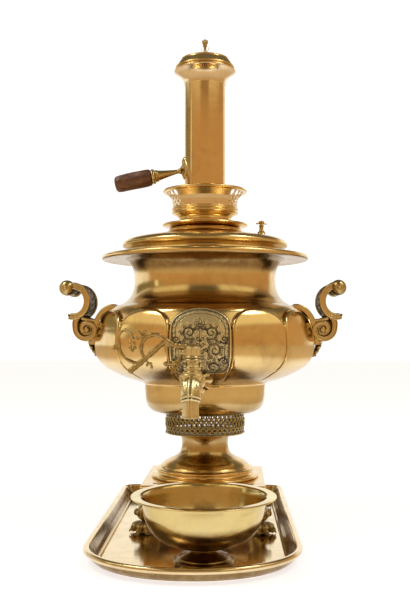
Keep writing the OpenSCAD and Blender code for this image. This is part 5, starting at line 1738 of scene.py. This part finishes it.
az_ = math2(nt, "ARCTAN2", X, math2(nt, "MULTIPLY", Y, -1.0))
absx = math2(nt, "ABSOLUTE", X)
room = (0.60, 0.37, 0.175)
colw = mix(nt, soft(Z, 0.30, 0.62), room, (0.17, 0.145, 0.10))
boxes = mul(soft(absx, 0.30, 0.42), inv(soft(absx, 0.90, 0.96)), soft(Z, 0.36, 0.50), inv(soft(Z, 0.80, 0.88)), inv(soft(Y, 0.02, 0.18)))
colw = mix(nt, boxes, colw, (0.98, 0.84, 0.55))
side = math2(nt, "ADD", Y, math2(nt, "MULTIPLY", X, -0.28))
back = mul(soft(side, 0.34, 0.52), inv(soft(Z, 0.38, 0.47)))
colw = mix(nt, back, colw, (1.12, 1.10, 1.07))
off = math2(nt, "ABSOLUTE", math2(nt, "ADD", az_, 1.44))
dusk = mul(soft(az_, -2.55, -2.35), inv(soft(az_, -1.30, -1.25)))
band = mul(soft(Z, 0.13, 0.17), inv(soft(Z, 0.34, 0.40)))
colw = mix(nt, mul(dusk, band), colw, (0.27, 0.225, 0.105))
colw = mix(nt, mul(inv(soft(off, 0.055, 0.075)), band), colw, (1.25, 1.15, 0.85))
nt.links.new(colw, bg.inputs["Color"])
bg.inputs["Strength"].default_value = 1.0
nt.links.new(bg.outputs[0], out.inputs[0])


def area(name, loc, aim, size, power, size_y=None, col=(1, 1, 1)):
    li = bpy.data.lights.new(name, "AREA")
    li.shape = "RECTANGLE"
    li.size, li.size_y = size, size_y or size
    li.energy = power
    li.color = col
    ob = bpy.data.objects.new(name, li)
    sc.collection.objects.link(ob)
    ob.location = loc
    ob.rotation_euler = (Vector(aim) - Vector(loc)).to_track_quat("-Z", "Y").to_euler()
    return ob


area("box_over_left", (-0.95, -0.25, 1.75), (0, 0, 0.2), 0.42, 5.0, 0.6)
area("box_over_right", (0.95, -0.25, 1.75), (0, 0, 0.2), 0.42, 5.0, 0.6)

cam = bpy.data.cameras.new("cam")
cam.lens = 48.3
cam.sensor_width = 36
cam.shift_y = 0.0366
co_ = bpy.data.objects.new("cam", cam)
sc.collection.objects.link(co_)
az = math.radians(2.2)
D = 1.155
co_.location = (D * math.sin(az), -D * math.cos(az), 0.265)
co_.rotation_euler = (math.radians(90), 0, az)
cam.clip_start = 0.05
sc.camera = co_
sc.view_settings.view_transform = "Standard"
sc.view_settings.look = "None"
